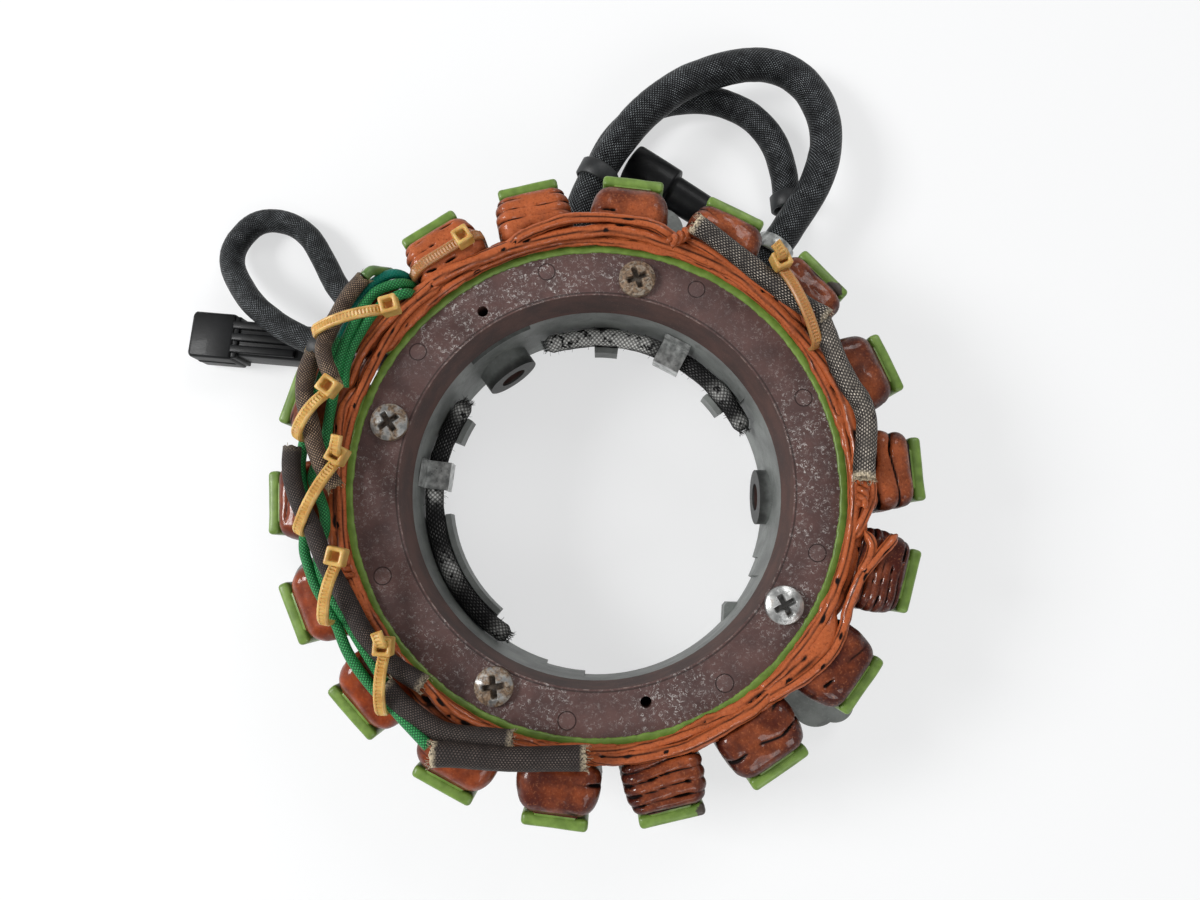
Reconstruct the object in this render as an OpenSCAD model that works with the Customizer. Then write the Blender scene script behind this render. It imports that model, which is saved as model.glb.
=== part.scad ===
// Wound stator: an eighteen-pole laminated core on a cast carrier, with its coils,
// sleeved leads, ties and braided harness. Millimetres, +Z up along the bore axis.
// The origin lies on the bore axis, on the plane that the carrier stands on.

/* [Core] */
// How far the core's bore stands in from the carrier's
core_lip = 0.5; // [0.4:0.1:1]
// Thickness of the steel stack
stack_h = 15; // [13:0.5:18]
// Width of the yoke ring, from the bore to its outer edge
yoke_w = 13; // [12.5:0.1:13.5]
// Angle of the first pole
pole_start = 3; // [2:0.5:4]
// Width of a bare steel pole
pole_w = 9; // [8:0.1:9.5]
// Length of a pole, from the yoke to the outer face of its bare tip
pole_len = 19; // [18.5:0.1:20.5]
// Radial thickness of a bare pole tip
tip_t = 2; // [1.5:0.1:2.4]
// Width of a bare pole tip
tip_w = 15; // [13:0.5:16]
// Thickness of the green powder coat
coat_t = 0.5; // [0.3:0.1:0.6]
// Width of the coat on both faces of the yoke
coat_lap = 1.7; // [1.3:0.1:2.1]
// Radius of the two locating holes
pilot_hole_r = 1.4; // [1:0.1:1.8]
// Distance of the locating holes from the core's bore
pilot_inset = 4.3; // [3.9:0.1:4.7]

/* [Coils] */
// Radius of one lacquered turn
turn_r = 1.1; // [1:0.05:1.2]
// Turns seen along a coil
turn_count = 7; // [6:1:7]
// Thickness of the winding around the pole, at the middle of the coil
coil_t = 4.4; // [4:0.1:4.8]
// How much lower the end turns lie
coil_barrel = 1.1; // [0.6:0.1:1.2]
// Gap between a winding and the coat around it
coil_gap = 0.15; // [0.1:0.05:0.3]

/* [Fasteners] */
// Radius of the rivets
rivet_r = 2.1; // [1.8:0.1:2.3]
// Distance of the rivets from the core's bore
rivet_inset = 7.7; // [7.5:0.1:7.9]
// Radius of the screw heads
screw_head_r = 4.7; // [4.4:0.1:4.8]
// Height of the screw heads
screw_head_h = 2.6; // [2.2:0.1:3]
// Radius of the screw shanks
screw_r = 2.4; // [2.2:0.1:2.6]
// Distance of the screws from the core's bore
screw_inset = 5; // [4.9:0.1:5.3]
// Depth of the screws in the carrier
screw_depth = 12; // [10:1:16]
// Clearance around pins in their holes
pin_gap = 0.1; // [0.05:0.05:0.2]

/* [Carrier] */
// Height of the carrier casting
carrier_h = 30; // [28:0.5:34]
// Outer radius of the carrier wall, which the core and all that lies on it follow
carrier_r = 59.5; // [58:0.1:62]
// Thickness of the carrier wall
carrier_wall = 9.5; // [9.2:0.1:9.8]
// Distance of the lug holes from the carrier wall
lug_reach = 25.5; // [24.5:0.5:27]
// Width of a lug
lug_w = 15; // [14:0.5:17]
// Height of a lug
lug_h = 8; // [6:0.5:9]
// Radius of a lug hole
lug_hole_r = 3.2; // [2.6:0.1:3.6]
// Thickness of the lug left above its hole
lug_skin = 1.6; // [1.2:0.1:2.4]
// Radius of the two bosses inside the wall
boss_r = 8; // [7:0.5:8]
// How far the bosses stand in from the wall
boss_proud = 6; // [5:0.5:6.5]
// Depth of the notch in the top edge
notch_h = 5; // [3:0.5:6]

/* [Bore cables] */
// Radius of the braided cables on the inner wall
bore_cable_r = 2.7; // [2.4:0.1:2.8]
// Height of their centre line
bore_cable_z = 13.5; // [13:0.5:15]
// Thickness of the ledge under a cable
ledge_t = 2.5; // [2:0.5:3]
// Thickness of the lip in front of a cable
lip_t = 1.6; // [1.2:0.2:2]
// Thickness of the clip strip
clip_t = 0.9; // [0.7:0.1:1.1]
// Width of the clip strip
clip_w = 8; // [6:0.5:9]

/* [Leads] */
// Radius of a link wire
link_r = 1.2; // [1:0.1:1.25]
// Radius of a braided sleeve
sleeve_r = 2.8; // [2.4:0.1:2.85]
// Radius of a green lead
lead_r = 1.7; // [1.4:0.1:1.75]
// Width of a tie strap
tie_w = 2.6; // [2.2:0.1:3]
// Thickness of a tie strap
tie_t = 1; // [0.8:0.1:1.2]
// Side of a tie head
tie_head = 4.6; // [4:0.1:5]

/* [Harness] */
// Radius of the left harness braid
left_cord_r = 3.7; // [3.4:0.1:3.9]
// Radius of the upper braid of the top harness
top_cord_r = 5; // [4.6:0.1:5.1]
// Radius of the lower braid of the top harness
low_cord_r = 4.3; // [3.9:0.1:4.4]
// Radius of the bare wire tails
tail_r = 1.9; // [1.6:0.1:2]
// Distance of a braid's start from the carrier wall
mouth_reach = 6.7; // [6:0.1:8]
// Wall of the cable grommets
grommet_wall = 1; // [0.8:0.1:1.2]
// Thickness of the bands on the braids
band_t = 0.8; // [0.6:0.1:1]
// Length of the bands on the braids
band_len = 5; // [3:0.5:6]
// Clearance of a band around its braid
band_gap = 0.2; // [0.2:0.05:0.3]
// Width of the left connector's shroud
shroud_w = 14; // [13:0.5:15]
// Length of the left connector's shroud
shroud_len = 13; // [12:0.5:15]
// Height of the left connector's shroud
shroud_h = 12; // [11.5:0.5:13]
// Length of the left connector's ribbed body
plug_body_len = 23; // [22:0.5:24]
// Radius of the round connector's shell
shell_r = 7; // [6.5:0.1:7.2]
// Length of the round connector's shell
shell_len = 15; // [13:0.5:16]
// Radius of the round connector's boot
boot_r = 5.3; // [4.8:0.1:5.6]
// Length of the round connector's boot
boot_len = 18; // [14:0.5:19]

/* [Hidden] */
$fn = 48;
pole_count = 18;
slack = 0.3;
overlap = 1;

// Radii of the rings, each from the one inside or outside it
carrier_bore_r = carrier_r - carrier_wall;
core_bore_r = carrier_bore_r - core_lip;
yoke_r = core_bore_r + yoke_w;
coat_edge_r = yoke_r - coat_lap;
tip_r = yoke_r + pole_len;
pilot_circle_r = core_bore_r + pilot_inset;
rivet_circle_r = core_bore_r + rivet_inset;
screw_circle_r = core_bore_r + screw_inset;
lug_circle_r = carrier_r + lug_reach;
boss_face_r = carrier_bore_r - boss_proud;

stack_z = carrier_h;
face_z = stack_z + stack_h;
mid_z = stack_z + stack_h / 2;
coated_top = face_z + coat_t;
pole_pitch = 360 / pole_count;
rivet_poles = [1, 3, 5, 7, 10, 13, 15, 17];
pilot_poles = [6, 14];
screw_angles = [78.8, 163, 243.2, 327.4];
lug_angles = [77, 197, 317];
// The long lug: its reach past the hole, the angle of its end and the radius there
lug_toe = [4.5, 319.1, 5.7];

// Link wires lie on the coated yoke, one on the other
link_wave = 0.3;
link_line_r = yoke_r + coat_t + link_r / 3;
link_z = coated_top + link_r + link_wave + slack;
link_rise = 2 * link_r + 2 * link_wave + slack;
link_step = 6;
link_spans = [[20, 374], [-10, 146], [270, 342]];

// Winding space between the yoke and the tip of one pole
coil_in = link_line_r + link_wave + link_r + slack;
coil_out = tip_r - tip_t - coat_t - coil_gap;
coil_len = coil_out - coil_in;
pole_half_w = pole_w / 2 + coat_t + coil_gap;
pole_half_h = stack_h / 2 + coat_t + coil_gap;
coil_top = mid_z + pole_half_h + coil_t;

// Where the bore cables lie on the carrier's ledges
cable_line_r = carrier_bore_r - bore_cable_r - slack;
ledge_z = bore_cable_z - bore_cable_r - slack;
lip_r = cable_line_r - bore_cable_r - slack;
lip_rise = 0.5;
lip_top = bore_cable_z + lip_rise;
ledge_spans = [[34, 43], [82, 91], [149, 159], [187, 230]];
clip_angles = [62, 173];
cable_spans = [[24, 109], [144, 238]];

// Drafts at the foot of the carrier's wall, by angles and depth, then a tooth, an ear and a notch
drafts = [[25, 33, 2], [253, 339.5, 1], [266, 333, 2]];
tooth_root = [314, 324.5];
tooth_crest = [319.6, 321.2];
ear_span = [31, 35];
notch_span = [112, 134];

// Angle of each boss and how much less it stands in
bosses = [[0, 2.5], [125, 0]];

// Lowest centre heights over the coils for a lead, a sleeve and a sleeve over a lead
lead_z = coil_top + lead_r + slack;
sleeve_z = coil_top + sleeve_r + slack;
over_z = lead_z + lead_r + sleeve_r + slack;

// Round points along the pieces laid on the coils: distance from the yoke, angle and height over a level
sleeve_a = [[7.5, 69, 0], [5.5, 62, 0], [4, 52, 0], [5, 42, 0], [7, 35.6, 0]];
sleeve_b = [[7.5, 35, 0], [7.5, 32, 0], [6.5, 27, 0], [6.5, 19, 0], [5.5, 14, 0], [4.5, 8, 0.5],
            [2.5, 1, 1.2]];
sleeve_c = [[10.5, 240, 2], [8.5, 246, 2.5], [7, 252, 2.5], [4, 260, 1], [1.5, 268, 0.5]];
sleeve_e = [[5, 224, 0.5], [4.5, 231, 0.5], [4.5, 238, 0.5], [2.5, 245, 1], [0.5, 252, 1]];
sleeve_g = [[14.5, 139, 2], [14, 144, 2], [13.5, 149, 2], [12, 153, 4], [8.5, 158, 5], [5.5, 162, 4]];
sleeve_h = [[14.5, 157, 0], [12, 163, 3], [9, 168, 4], [5, 172, 4], [2.5, 176, 4], [1, 180, 2]];
sleeve_j = [[11, 174, 3.5], [11, 178, 3.5], [9.5, 183, 4], [7, 189, 4], [3.5, 195, 4],
            [1.5, 200, 2], [0.5, 206, 1], [0, 212, 0], [-0.5, 219, 0], [-1, 228, 0]];

// Each lead comes up between two poles at its first points, out where the gap is wide enough for it
// beside a tied coil
gap_w = 2 * lead_r + tie_t + 3 * slack;
gap_r = (pole_half_w + coil_t + gap_w / 2) / sin(pole_pitch / 2);
rise_from_yoke = 7.8;
rise = max(rise_from_yoke, gap_r - yoke_r);
lead_outer = [[rise + 2.2, 133, -14], [rise + 2, 133.2, -6], [9.5, 135, 0], [9.5, 140, 0], [9.5, 150, 0],
              [9.5, 160, 0], [9.5, 170, 0], [9.5, 180, 0], [9.5, 190, 0], [9.5, 200, 0], [9.5, 210, 0],
              [9.5, 220, 0], [9.5, 230, 0], [10.5, 236, 2], [10.5, 239.5, 3]];
lead_inner = [[6.5, 133.2, -13], [6.5, 133.6, -6], [6, 136, 0], [6, 145, 0], [6, 155, 0],
              [5.5, 165, 0], [4.5, 175, 0], [4.5, 185, 0], [5, 195, 0], [5.5, 205, 0], [5.5, 215, 0],
              [5.5, 223.5, 1]];
lead_olive = [[rise + 6.2, 134, -5], [rise + 6.2, 135.5, -1], [14.5, 137, 2.5], [14.5, 138.7, 3]];

// Ties over the leads: the head and the far end of the strap, by distance from the yoke and angle,
// and the rise of the crown
tie_z = over_z + sleeve_r;
tie_drop = 3;
ties = [[[2.8, 139.97], [15.4, 150.8], 2.3],
        [[4.23, 160.75], [11.32, 171.43], 5],
        [[-3.46, 172.21], [8.21, 188.13], 3.5],
        [[-0.82, 196.97], [8.16, 206.93], 3.6],
        [[-1.59, 218], [9.68, 227.25], 0.5],
        [[7.35, 49.35], [1.31, 32.2], 0.3]];

// Cord routes from the grommets on the carrier to the far ends, as steps from a grommet's mouth,
// which lies at an angle around the carrier
left_mouth = 141.75;
top_mouth = 94.33;
left_route = out(left_mouth, [
    [0, 0, 12], [-6, 5, 12], [-13.5, 10.5, 11], [-21.5, 16.5, 9], [-28, 24, 7.5], [-33.5, 33.5, 6],
    [-38.5, 41, 5], [-44.5, 45.5, 4.3], [-52, 47, 4], [-57.5, 44.5, 4.3], [-61.5, 37.5, 5.5],
    [-60.5, 30, 8], [-55, 21.5, 12], [-48.5, 14.5, 16], [-40, 8, 18.5], [-33, 4, 20.5], [-27, 1, 21]]);
left_tail = out(left_mouth, [
    [-27, 1, 21], [-23, -1, 21], [-18, -3, 17], [-16, -1, 12], [-18, 2, 8], [-24, 4, 7], [-34, 5, 7]]);
top_route = out(top_mouth, [
    [0, 0, 18], [-1, 9, 18], [0, 17.5, 18.5], [5, 29, 19.5], [11, 38.5, 20], [20, 50, 19.5],
    [34, 62, 16], [51, 69.5, 12], [63, 70, 9.5], [71, 64, 9.5], [75, 53.5, 11.5], [75, 41, 14],
    [71, 28.5, 15.5], [65, 18.5, 15.5], [57.5, 7.5, 15.5], [51.5, -0.5, 15], [47, -6, 14], [43, -12, 14]]);
low_route = out(top_mouth, [
    [0, 0, 6.5], [-1, 9.5, 6], [0, 23.5, 5], [4, 35.5, 4.6], [8, 45, 4.6], [14, 53, 4.6], [21, 59, 4.6],
    [30.5, 62, 4.6], [42.5, 62, 4.6], [53.5, 57, 4.6], [61, 48, 4.6], [64, 37.5, 4.6], [65, 27.5, 4.6]]);
low_tail = out(top_mouth, [
    [65, 27.5, 4.6], [66, 20, 4.6], [64, 14, 5], [59, 11.5, 5.5], [52, 14, 6.5], [43, 20, 7]]);

// Far ends and bands of the harness
left_plug_turn = 175;
round_plug_turn = 146;
left_band_at = 16;
top_band_at = 3;
top_ferrule_at = 14;
low_band_at = 12;
black = [0.07, 0.07, 0.07];
steel = [0.66, 0.67, 0.67];

function pole_angle(k) = pole_start + pole_pitch * k;
function coil_name(k) = str("coil_", k < 10 ? "0" : "", k);
function tie_name(k) = str("cable_tie_", k);
function unit(v) = v / norm(v);
function last(list) = list[len(list) - 1];
function round_xy(r, a) = [r * cos(a), r * sin(a)];
function polar(p, level) = concat(round_xy(yoke_r + p[0], p[1]), level + p[2]);
function out(angle, steps) = [for (p = steps)
    concat(round_xy(carrier_r + mouth_reach, angle), 0) + p];
function tie_xy(p) = round_xy(yoke_r + p[0], p[1]);
function placed(list, level) = [for (p = list) polar(p, level)];
function link_line(span, rise) = [for (a = [span[0] : link_step : span[1]])
    polar([link_line_r - yoke_r + link_wave * sin(5 * a), a, rise + link_wave * sin(9 * a)], link_z)];

// A smooth curve through points, with a few steps between neighbours
function hermite(a, b, c, d, t) =
    b + (c - a) * t / 2 + (2 * a - 5 * b + 4 * c - d) * t * t / 2
    + (3 * b - a - 3 * c + d) * t * t * t / 2;
function before(p, i) = i > 0 ? p[i - 1] : 2 * p[0] - p[1];
function after(p, i) = i < len(p) - 1 ? p[i + 1] : 2 * p[i] - p[i - 1];
function smooth(p, steps) = concat(
    [for (i = [0 : len(p) - 2]) for (j = [0 : steps - 1])
        hermite(before(p, i), p[i], p[i + 1], after(p, i + 1), j / steps)],
    [p[len(p) - 1]]);
function heading(p, i) = unit(after(p, i) - before(p, i));

// Rings of points around a route, turned by a direction that no route follows
aside = [0.23, 0.17, 1];
function ring(p, i, r, sides) =
    let (t = heading(p, i), s = unit(cross(t, aside)), u = cross(s, t))
    [for (k = [0 : sides - 1]) p[i] + r * (cos(360 * k / sides) * s + sin(360 * k / sides) * u)];

module tube(p, r, sides) {
    n = len(p);
    points = [for (i = [0 : n - 1]) each ring(p, i, r, sides)];
    walls = [for (i = [0 : n - 2]) for (k = [0 : sides - 1])
        let (a = i * sides + k, b = i * sides + (k + 1) % sides)
        each [[a, b, b + sides], [a, b + sides, a + sides]]];
    first = [for (k = [sides - 1 : -1 : 0]) k];
    last = [for (k = [0 : sides - 1]) (n - 1) * sides + k];
    polyhedron(points, concat([first], walls, [last]));
}

module at_poles(list) {
    for (k = list) rotate(pole_angle(k)) children();
}

// A block of a ring between two angles
module sector(r_in, r_out, z_low, z_high, span) {
    rotate(span[0])
        rotate_extrude(angle = span[1] - span[0])
            translate([r_in, z_low]) square([r_out - r_in, z_high - z_low]);
}

// A band around one point of a route, along the route there
module band(p, i, r, tint) {
    t = heading(p, i);
    color(tint) translate(p[i]) rotate([0, acos(t[2]), atan2(t[1], t[0])])
        difference() {
            cylinder(r = r + band_gap + band_t, h = band_len, center = true);
            cylinder(r = r + band_gap, h = band_len + overlap, center = true);
        }
}

// Core

module core_outline(grow) {
    circle(r = yoke_r + grow, $fn = 180);
    at_poles([0 : pole_count - 1]) {
        translate([core_bore_r + overlap, -pole_w / 2 - grow])
            square([tip_r - core_bore_r - overlap - tip_t / 2, pole_w + 2 * grow]);
        translate([tip_r - tip_t - grow, -tip_w / 2 - grow])
            square([tip_t + 2 * grow, tip_w + 2 * grow]);
    }
}

module core_stack() {
    color([0.29, 0.23, 0.22]) translate([0, 0, stack_z])
        difference() {
            linear_extrude(stack_h) core_outline(0);
            translate([0, 0, -overlap]) cylinder(r = core_bore_r, h = stack_h + 2 * overlap, $fn = 180);
            at_poles(rivet_poles) translate([rivet_circle_r, 0, -overlap])
                cylinder(r = rivet_r + pin_gap, h = stack_h + 2 * overlap);
            at_poles(pilot_poles) translate([pilot_circle_r, 0, -overlap])
                cylinder(r = pilot_hole_r, h = stack_h + 2 * overlap);
            for (a = screw_angles) rotate(a) translate([screw_circle_r, 0, -overlap])
                cylinder(r = screw_r + pin_gap, h = stack_h + 2 * overlap);
        }
}

module pole_coating() {
    color([0.42, 0.55, 0.2])
        difference() {
            translate([0, 0, stack_z - coat_t]) linear_extrude(stack_h + 2 * coat_t) core_outline(coat_t);
            translate([0, 0, stack_z]) linear_extrude(stack_h) core_outline(0);
            translate([0, 0, stack_z - coat_t - overlap])
                cylinder(r = coat_edge_r, h = stack_h + 2 * coat_t + 2 * overlap, $fn = 180);
        }
}

module core_rivets() {
    color([0.3, 0.24, 0.23]) at_poles(rivet_poles) translate([rivet_circle_r, 0, stack_z])
        cylinder(r = rivet_r, h = stack_h);
}

module screw() {
    rim_h = screw_head_h * 0.6;
    dome_h = screw_head_h - rim_h;
    dome_r = screw_head_r * 0.7;
    slot_len = screw_head_r * 1.1;
    slot_w = screw_head_r * 0.32;
    slot_h = screw_head_h * 1.2;
    shank = screw_depth + stack_h;
    difference() {
        union() {
            cylinder(r = screw_r, h = shank + overlap);
            translate([0, 0, shank]) cylinder(r = screw_head_r, h = rim_h);
            translate([0, 0, shank + rim_h]) cylinder(r1 = screw_head_r, r2 = dome_r, h = dome_h);
        }
        for (turn = [0, 90]) translate([0, 0, shank + screw_head_h]) rotate(turn)
            cube([slot_len, slot_w, slot_h], center = true);
    }
}

module mounting_screws() {
    color([0.62, 0.6, 0.55]) for (a = screw_angles)
        rotate(a) translate([screw_circle_r, 0, stack_z - screw_depth]) screw();
}

// Coils

module coil_section(turns, height) {
    pitch = (coil_len - 2 * turn_r) / (turns - 1);
    square([coil_len, height - coil_barrel - turn_r]);
    for (i = [0 : turns - 1]) {
        s = 2 * i / (turns - 1) - 1;
        translate([turn_r + pitch * i, height - turn_r - coil_barrel * s * s]) circle(r = turn_r, $fn = 24);
        translate([pitch * i, 0]) square([2 * turn_r, height - turn_r - coil_barrel * s * s]);
    }
}

module coil_corner(turns) {
    intersection() {
        rotate_extrude() rotate(90) mirror([0, 1]) coil_section(turns, coil_t);
        translate([0, 0, -overlap]) cube([coil_len, coil_len, coil_len + 2 * overlap]);
    }
}

module coil(k) {
    turns = turn_count + k % 2;
    color([0.6, 0.3, 0.19]) rotate(pole_angle(k)) translate([coil_in, 0, mid_z]) {
        for (up = [0, 1]) mirror([0, 0, up]) {
            translate([0, 0, pole_half_h]) rotate([90, 0, 0])
                linear_extrude(2 * pole_half_w, center = true) coil_section(turns, coil_t);
            for (left = [0, 1]) mirror([0, left, 0]) translate([0, pole_half_w, pole_half_h])
                rotate([0, 90, 0]) mirror([1, 0, 0]) coil_corner(turns);
        }
        for (left = [0, 1]) mirror([0, left, 0]) translate([0, pole_half_w, 0])
            linear_extrude(2 * pole_half_h, center = true) coil_section(turns, coil_t);
    }
}

// Carrier

module lug(a) {
    rotate(a) {
        translate([lug_circle_r, 0, 0]) cylinder(r = lug_w / 2, h = lug_h);
        translate([carrier_r - overlap, -lug_w / 2, 0])
            cube([lug_circle_r - carrier_r + overlap, lug_w, lug_h]);
    }
}

module cable_ledge(span) {
    sector(lip_r - lip_t, carrier_bore_r + overlap, ledge_z - ledge_t, ledge_z, span);
    sector(lip_r - lip_t, lip_r, ledge_z - ledge_t, lip_top, span);
}

module at_boss(spot) {
    rotate(spot[0]) translate([boss_face_r + spot[1], 0, boss_r + slack]) rotate([0, 90, 0]) children();
}

// A cut that is deepest at the foot of the wall and runs out above
module wall_draft(cut) {
    slope = 11;
    rotate(cut[0]) rotate_extrude(angle = cut[1] - cut[0])
        polygon([[carrier_bore_r - overlap, -overlap],
                 [carrier_bore_r + cut[2] + overlap / slope, -overlap],
                 [carrier_bore_r - overlap, slope * (cut[2] + overlap)]]);
}

module wall_tooth() {
    tooth_h = 5;
    root_r = carrier_bore_r + 3;
    crest_r = carrier_bore_r - 1;
    linear_extrude(tooth_h)
        polygon([round_xy(root_r, tooth_root[0]), round_xy(crest_r, tooth_crest[0]),
                 round_xy(crest_r, tooth_crest[1]), round_xy(root_r, tooth_root[1])]);
}

module carrier_ring() {
    boss_hole_r = boss_r / 2;
    boss_hole_depth = 8;
    notch_depth = 4;
    color([0.43, 0.46, 0.46]) difference() {
        union() {
            difference() {
                union() {
                    cylinder(r = carrier_r, h = carrier_h, $fn = 180);
                    for (a = lug_angles) lug(a);
                    translate(round_xy(lug_circle_r + lug_toe[0], lug_toe[1]))
                        cylinder(r = lug_toe[2], h = lug_h);
                    sector(carrier_r - overlap, lug_circle_r, 0, lug_h, ear_span);
                }
                translate([0, 0, -overlap])
                    cylinder(r = carrier_bore_r, h = carrier_h + 2 * overlap, $fn = 180);
                for (cut = drafts) wall_draft(cut);
            }
            for (span = ledge_spans) cable_ledge(span);
            for (spot = bosses) at_boss(spot) cylinder(r = boss_r, h = boss_proud - spot[1] + overlap);
            wall_tooth();
        }
        for (spot = bosses) at_boss(spot) translate([0, 0, -overlap])
            cylinder(r = boss_hole_r, h = boss_hole_depth + overlap);
        sector(carrier_bore_r - overlap, carrier_bore_r + notch_depth,
               carrier_h - notch_h, carrier_h + overlap, notch_span);
        for (a = lug_angles) rotate(a) translate([lug_circle_r, 0, -overlap])
            cylinder(r = lug_hole_r, h = lug_h - lug_skin + overlap);
        for (a = screw_angles) rotate(a) translate([screw_circle_r, 0, carrier_h - screw_depth - slack])
            cylinder(r = screw_r + pin_gap, h = screw_depth + slack + overlap);
    }
}

// Bore cables and the clips over them

module bore_cable(span) {
    color(black) rotate(span[0]) rotate_extrude(angle = span[1] - span[0])
        translate([cable_line_r, bore_cable_z]) circle(r = bore_cable_r, $fn = 24);
}

module cable_clips() {
    wall_x = sqrt(pow(carrier_bore_r, 2) - pow(clip_w / 2, 2)) - pin_gap;
    nose_x = lip_r - lip_t / 2;
    over = bore_cable_z + bore_cable_r + slack;
    tab_h = 6;
    nose_h = 5;
    color(steel) for (a = clip_angles) rotate(a)
        translate([0, clip_w / 2, 0]) rotate([90, 0, 0]) linear_extrude(clip_w)
            polygon([[wall_x, over], [wall_x, over + tab_h], [wall_x - clip_t, over + tab_h],
                     [wall_x - clip_t, over + clip_t], [nose_x - clip_t, over + clip_t],
                     [nose_x - clip_t, over - nose_h], [nose_x, over - nose_h], [nose_x, over]]);
}

// Link wires between the coils, sleeves and leads laid on the windings

module link_wire(list) {
    color([0.72, 0.38, 0.2]) tube(list, link_r, 8);
}

module sleeve(list) {
    color([0.28, 0.24, 0.21]) tube(smooth(placed(list, sleeve_z), 2), sleeve_r, 10);
}

module lead(list, tint) {
    color(tint) tube(smooth(placed(list, lead_z), 2), lead_r, 8);
}

module tie_block() {
    window = tie_head / 2;
    difference() {
        cube([tie_head, tie_head, tie_head]);
        translate([tie_head / 4, tie_head / 4, -overlap]) cube([window, window, tie_head + 2 * overlap]);
    }
}

module cable_tie(head, far, crown) {
    span = norm(far - head);
    arch_r = (span * span / 4 + tie_drop * tie_drop) / (2 * tie_drop);
    lean = atan2(far[1] - head[1], far[0] - head[0]);
    color([0.82, 0.6, 0.24]) translate([head[0], head[1], 0]) rotate(lean) {
        translate([span / 2, tie_w / 2, crown - arch_r]) rotate([90, 0, 0]) linear_extrude(tie_w)
            intersection() {
                difference() {
                    circle(r = arch_r, $fn = 96);
                    circle(r = arch_r - tie_t, $fn = 96);
                }
                translate([-span / 2, arch_r - tie_drop]) square([span, tie_drop]);
            }
        translate([tie_t - tie_head, -tie_head / 2, crown - tie_drop - tie_t]) tie_block();
    }
}

module rounded_box(half_w, half_h, r) {
    square([2 * half_w, 2 * (half_h - r)], center = true);
    square([2 * (half_w - r), 2 * half_h], center = true);
    for (x = [r - half_w, half_w - r], y = [r - half_h, half_h - r]) translate([x, y]) circle(r = r);
}

// The one tie that runs around a whole coil
module coil_tie() {
    tied_pole = 6;
    along = coil_len * 0.4;
    inner_r = coil_t + slack;
    outer_r = inner_r + tie_t;
    color([0.82, 0.6, 0.24]) rotate(pole_angle(tied_pole)) translate([coil_in + along, 0, mid_z]) {
        rotate([90, 0, 90]) linear_extrude(tie_w) difference() {
            rounded_box(pole_half_w + outer_r, pole_half_h + outer_r, outer_r);
            rounded_box(pole_half_w + inner_r, pole_half_h + inner_r, inner_r);
        }
        translate([(tie_w - tie_head) / 2, -pole_half_w, pole_half_h + inner_r]) tie_block();
    }
}

// Harness

module grommet(p, r) {
    reach = norm([p[0], p[1]]) - slack;
    translate([0, 0, p[2]]) rotate(atan2(p[1], p[0])) difference() {
        translate([carrier_r - overlap, 0, 0]) rotate([0, 90, 0])
            cylinder(r = r + grommet_wall, h = reach - carrier_r + overlap);
        translate([0, 0, -p[2] - overlap]) cylinder(r = carrier_r, h = carrier_h + 2 * overlap, $fn = 180);
    }
}

module cable_grommets() {
    color(black) {
        grommet(left_route[0], left_cord_r);
        grommet(top_route[0], top_cord_r);
        grommet(last(top_route), top_cord_r);
        grommet(low_route[0], low_cord_r);
    }
}

module cord(route, r) {
    color(black) tube(route, r, 10);
}

module left_connector() {
    rear = [last(left_tail)[0], last(left_tail)[1], 0];
    body_w = 11;
    body_h = 10;
    body_lift = 1;
    rib_w = 2.4;
    rib_h = 1.2;
    rib_start = 4;
    face_recess = 3;
    wall = 1.8;
    color([0.09, 0.09, 0.1]) translate(rear) rotate(left_plug_turn) translate([slack, 0, 0]) difference() {
        union() {
            translate([0, -body_w / 2, body_lift]) cube([plug_body_len + overlap, body_w, body_h]);
            for (y = [-body_w / 3, 0, body_w / 3]) translate([rib_start, y - rib_w / 2, body_lift])
                cube([plug_body_len - rib_start + overlap, rib_w, body_h + rib_h]);
            translate([plug_body_len, -shroud_w / 2, 0]) cube([shroud_len, shroud_w, shroud_h]);
        }
        translate([plug_body_len + shroud_len - face_recess, wall - shroud_w / 2, wall])
            cube([face_recess + overlap, shroud_w - 2 * wall, shroud_h - 2 * wall]);
    }
}

module top_connector() {
    rear = [last(low_tail)[0], last(low_tail)[1], shell_r];
    color([0.1, 0.1, 0.11]) translate(rear) rotate([0, 90, round_plug_turn]) translate([0, 0, slack]) {
        cylinder(r = boot_r, h = boot_len + overlap);
        translate([0, 0, boot_len]) cylinder(r = shell_r, h = shell_len);
    }
}

core_stack();
pole_coating();
core_rivets();
mounting_screws();
carrier_ring();
for (k = [1 : pole_count]) coil(k);
bore_cable(cable_spans[0]);  // bore_cable_right
bore_cable(cable_spans[1]);  // bore_cable_left
cable_clips();
link_wire(link_line(link_spans[0], 0));  // link_wire_inner
link_wire(link_line(link_spans[1], link_rise));  // link_wire_upper
link_wire(link_line(link_spans[2], link_rise));  // link_wire_lower
sleeve(sleeve_a);  // sleeve_right_long
sleeve(sleeve_b);  // sleeve_right_short
sleeve(sleeve_c);  // sleeve_bottom_outer
sleeve(sleeve_e);  // sleeve_bottom_inner
sleeve(sleeve_g);  // sleeve_left_upper
sleeve(sleeve_h);  // sleeve_left_middle
sleeve(sleeve_j);  // sleeve_left_lower
lead(lead_outer, [0.2, 0.55, 0.3]);
lead(lead_inner, [0.05, 0.5, 0.42]);
lead(lead_olive, [0.35, 0.5, 0.25]);
coil_tie();
for (k = [1 : len(ties)]) cable_tie(tie_xy(ties[k - 1][0]), tie_xy(ties[k - 1][1]), tie_z + ties[k - 1][2]);
cable_grommets();
cord(left_route, left_cord_r);  // left_harness_cord
band(left_route, left_band_at, left_cord_r, black);  // left_harness_band
cord(smooth(left_tail, 2), tail_r);  // left_harness_tail
left_connector();
cord(top_route, top_cord_r);  // top_harness_cord
band(top_route, top_band_at, top_cord_r, black);  // top_harness_band
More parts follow.
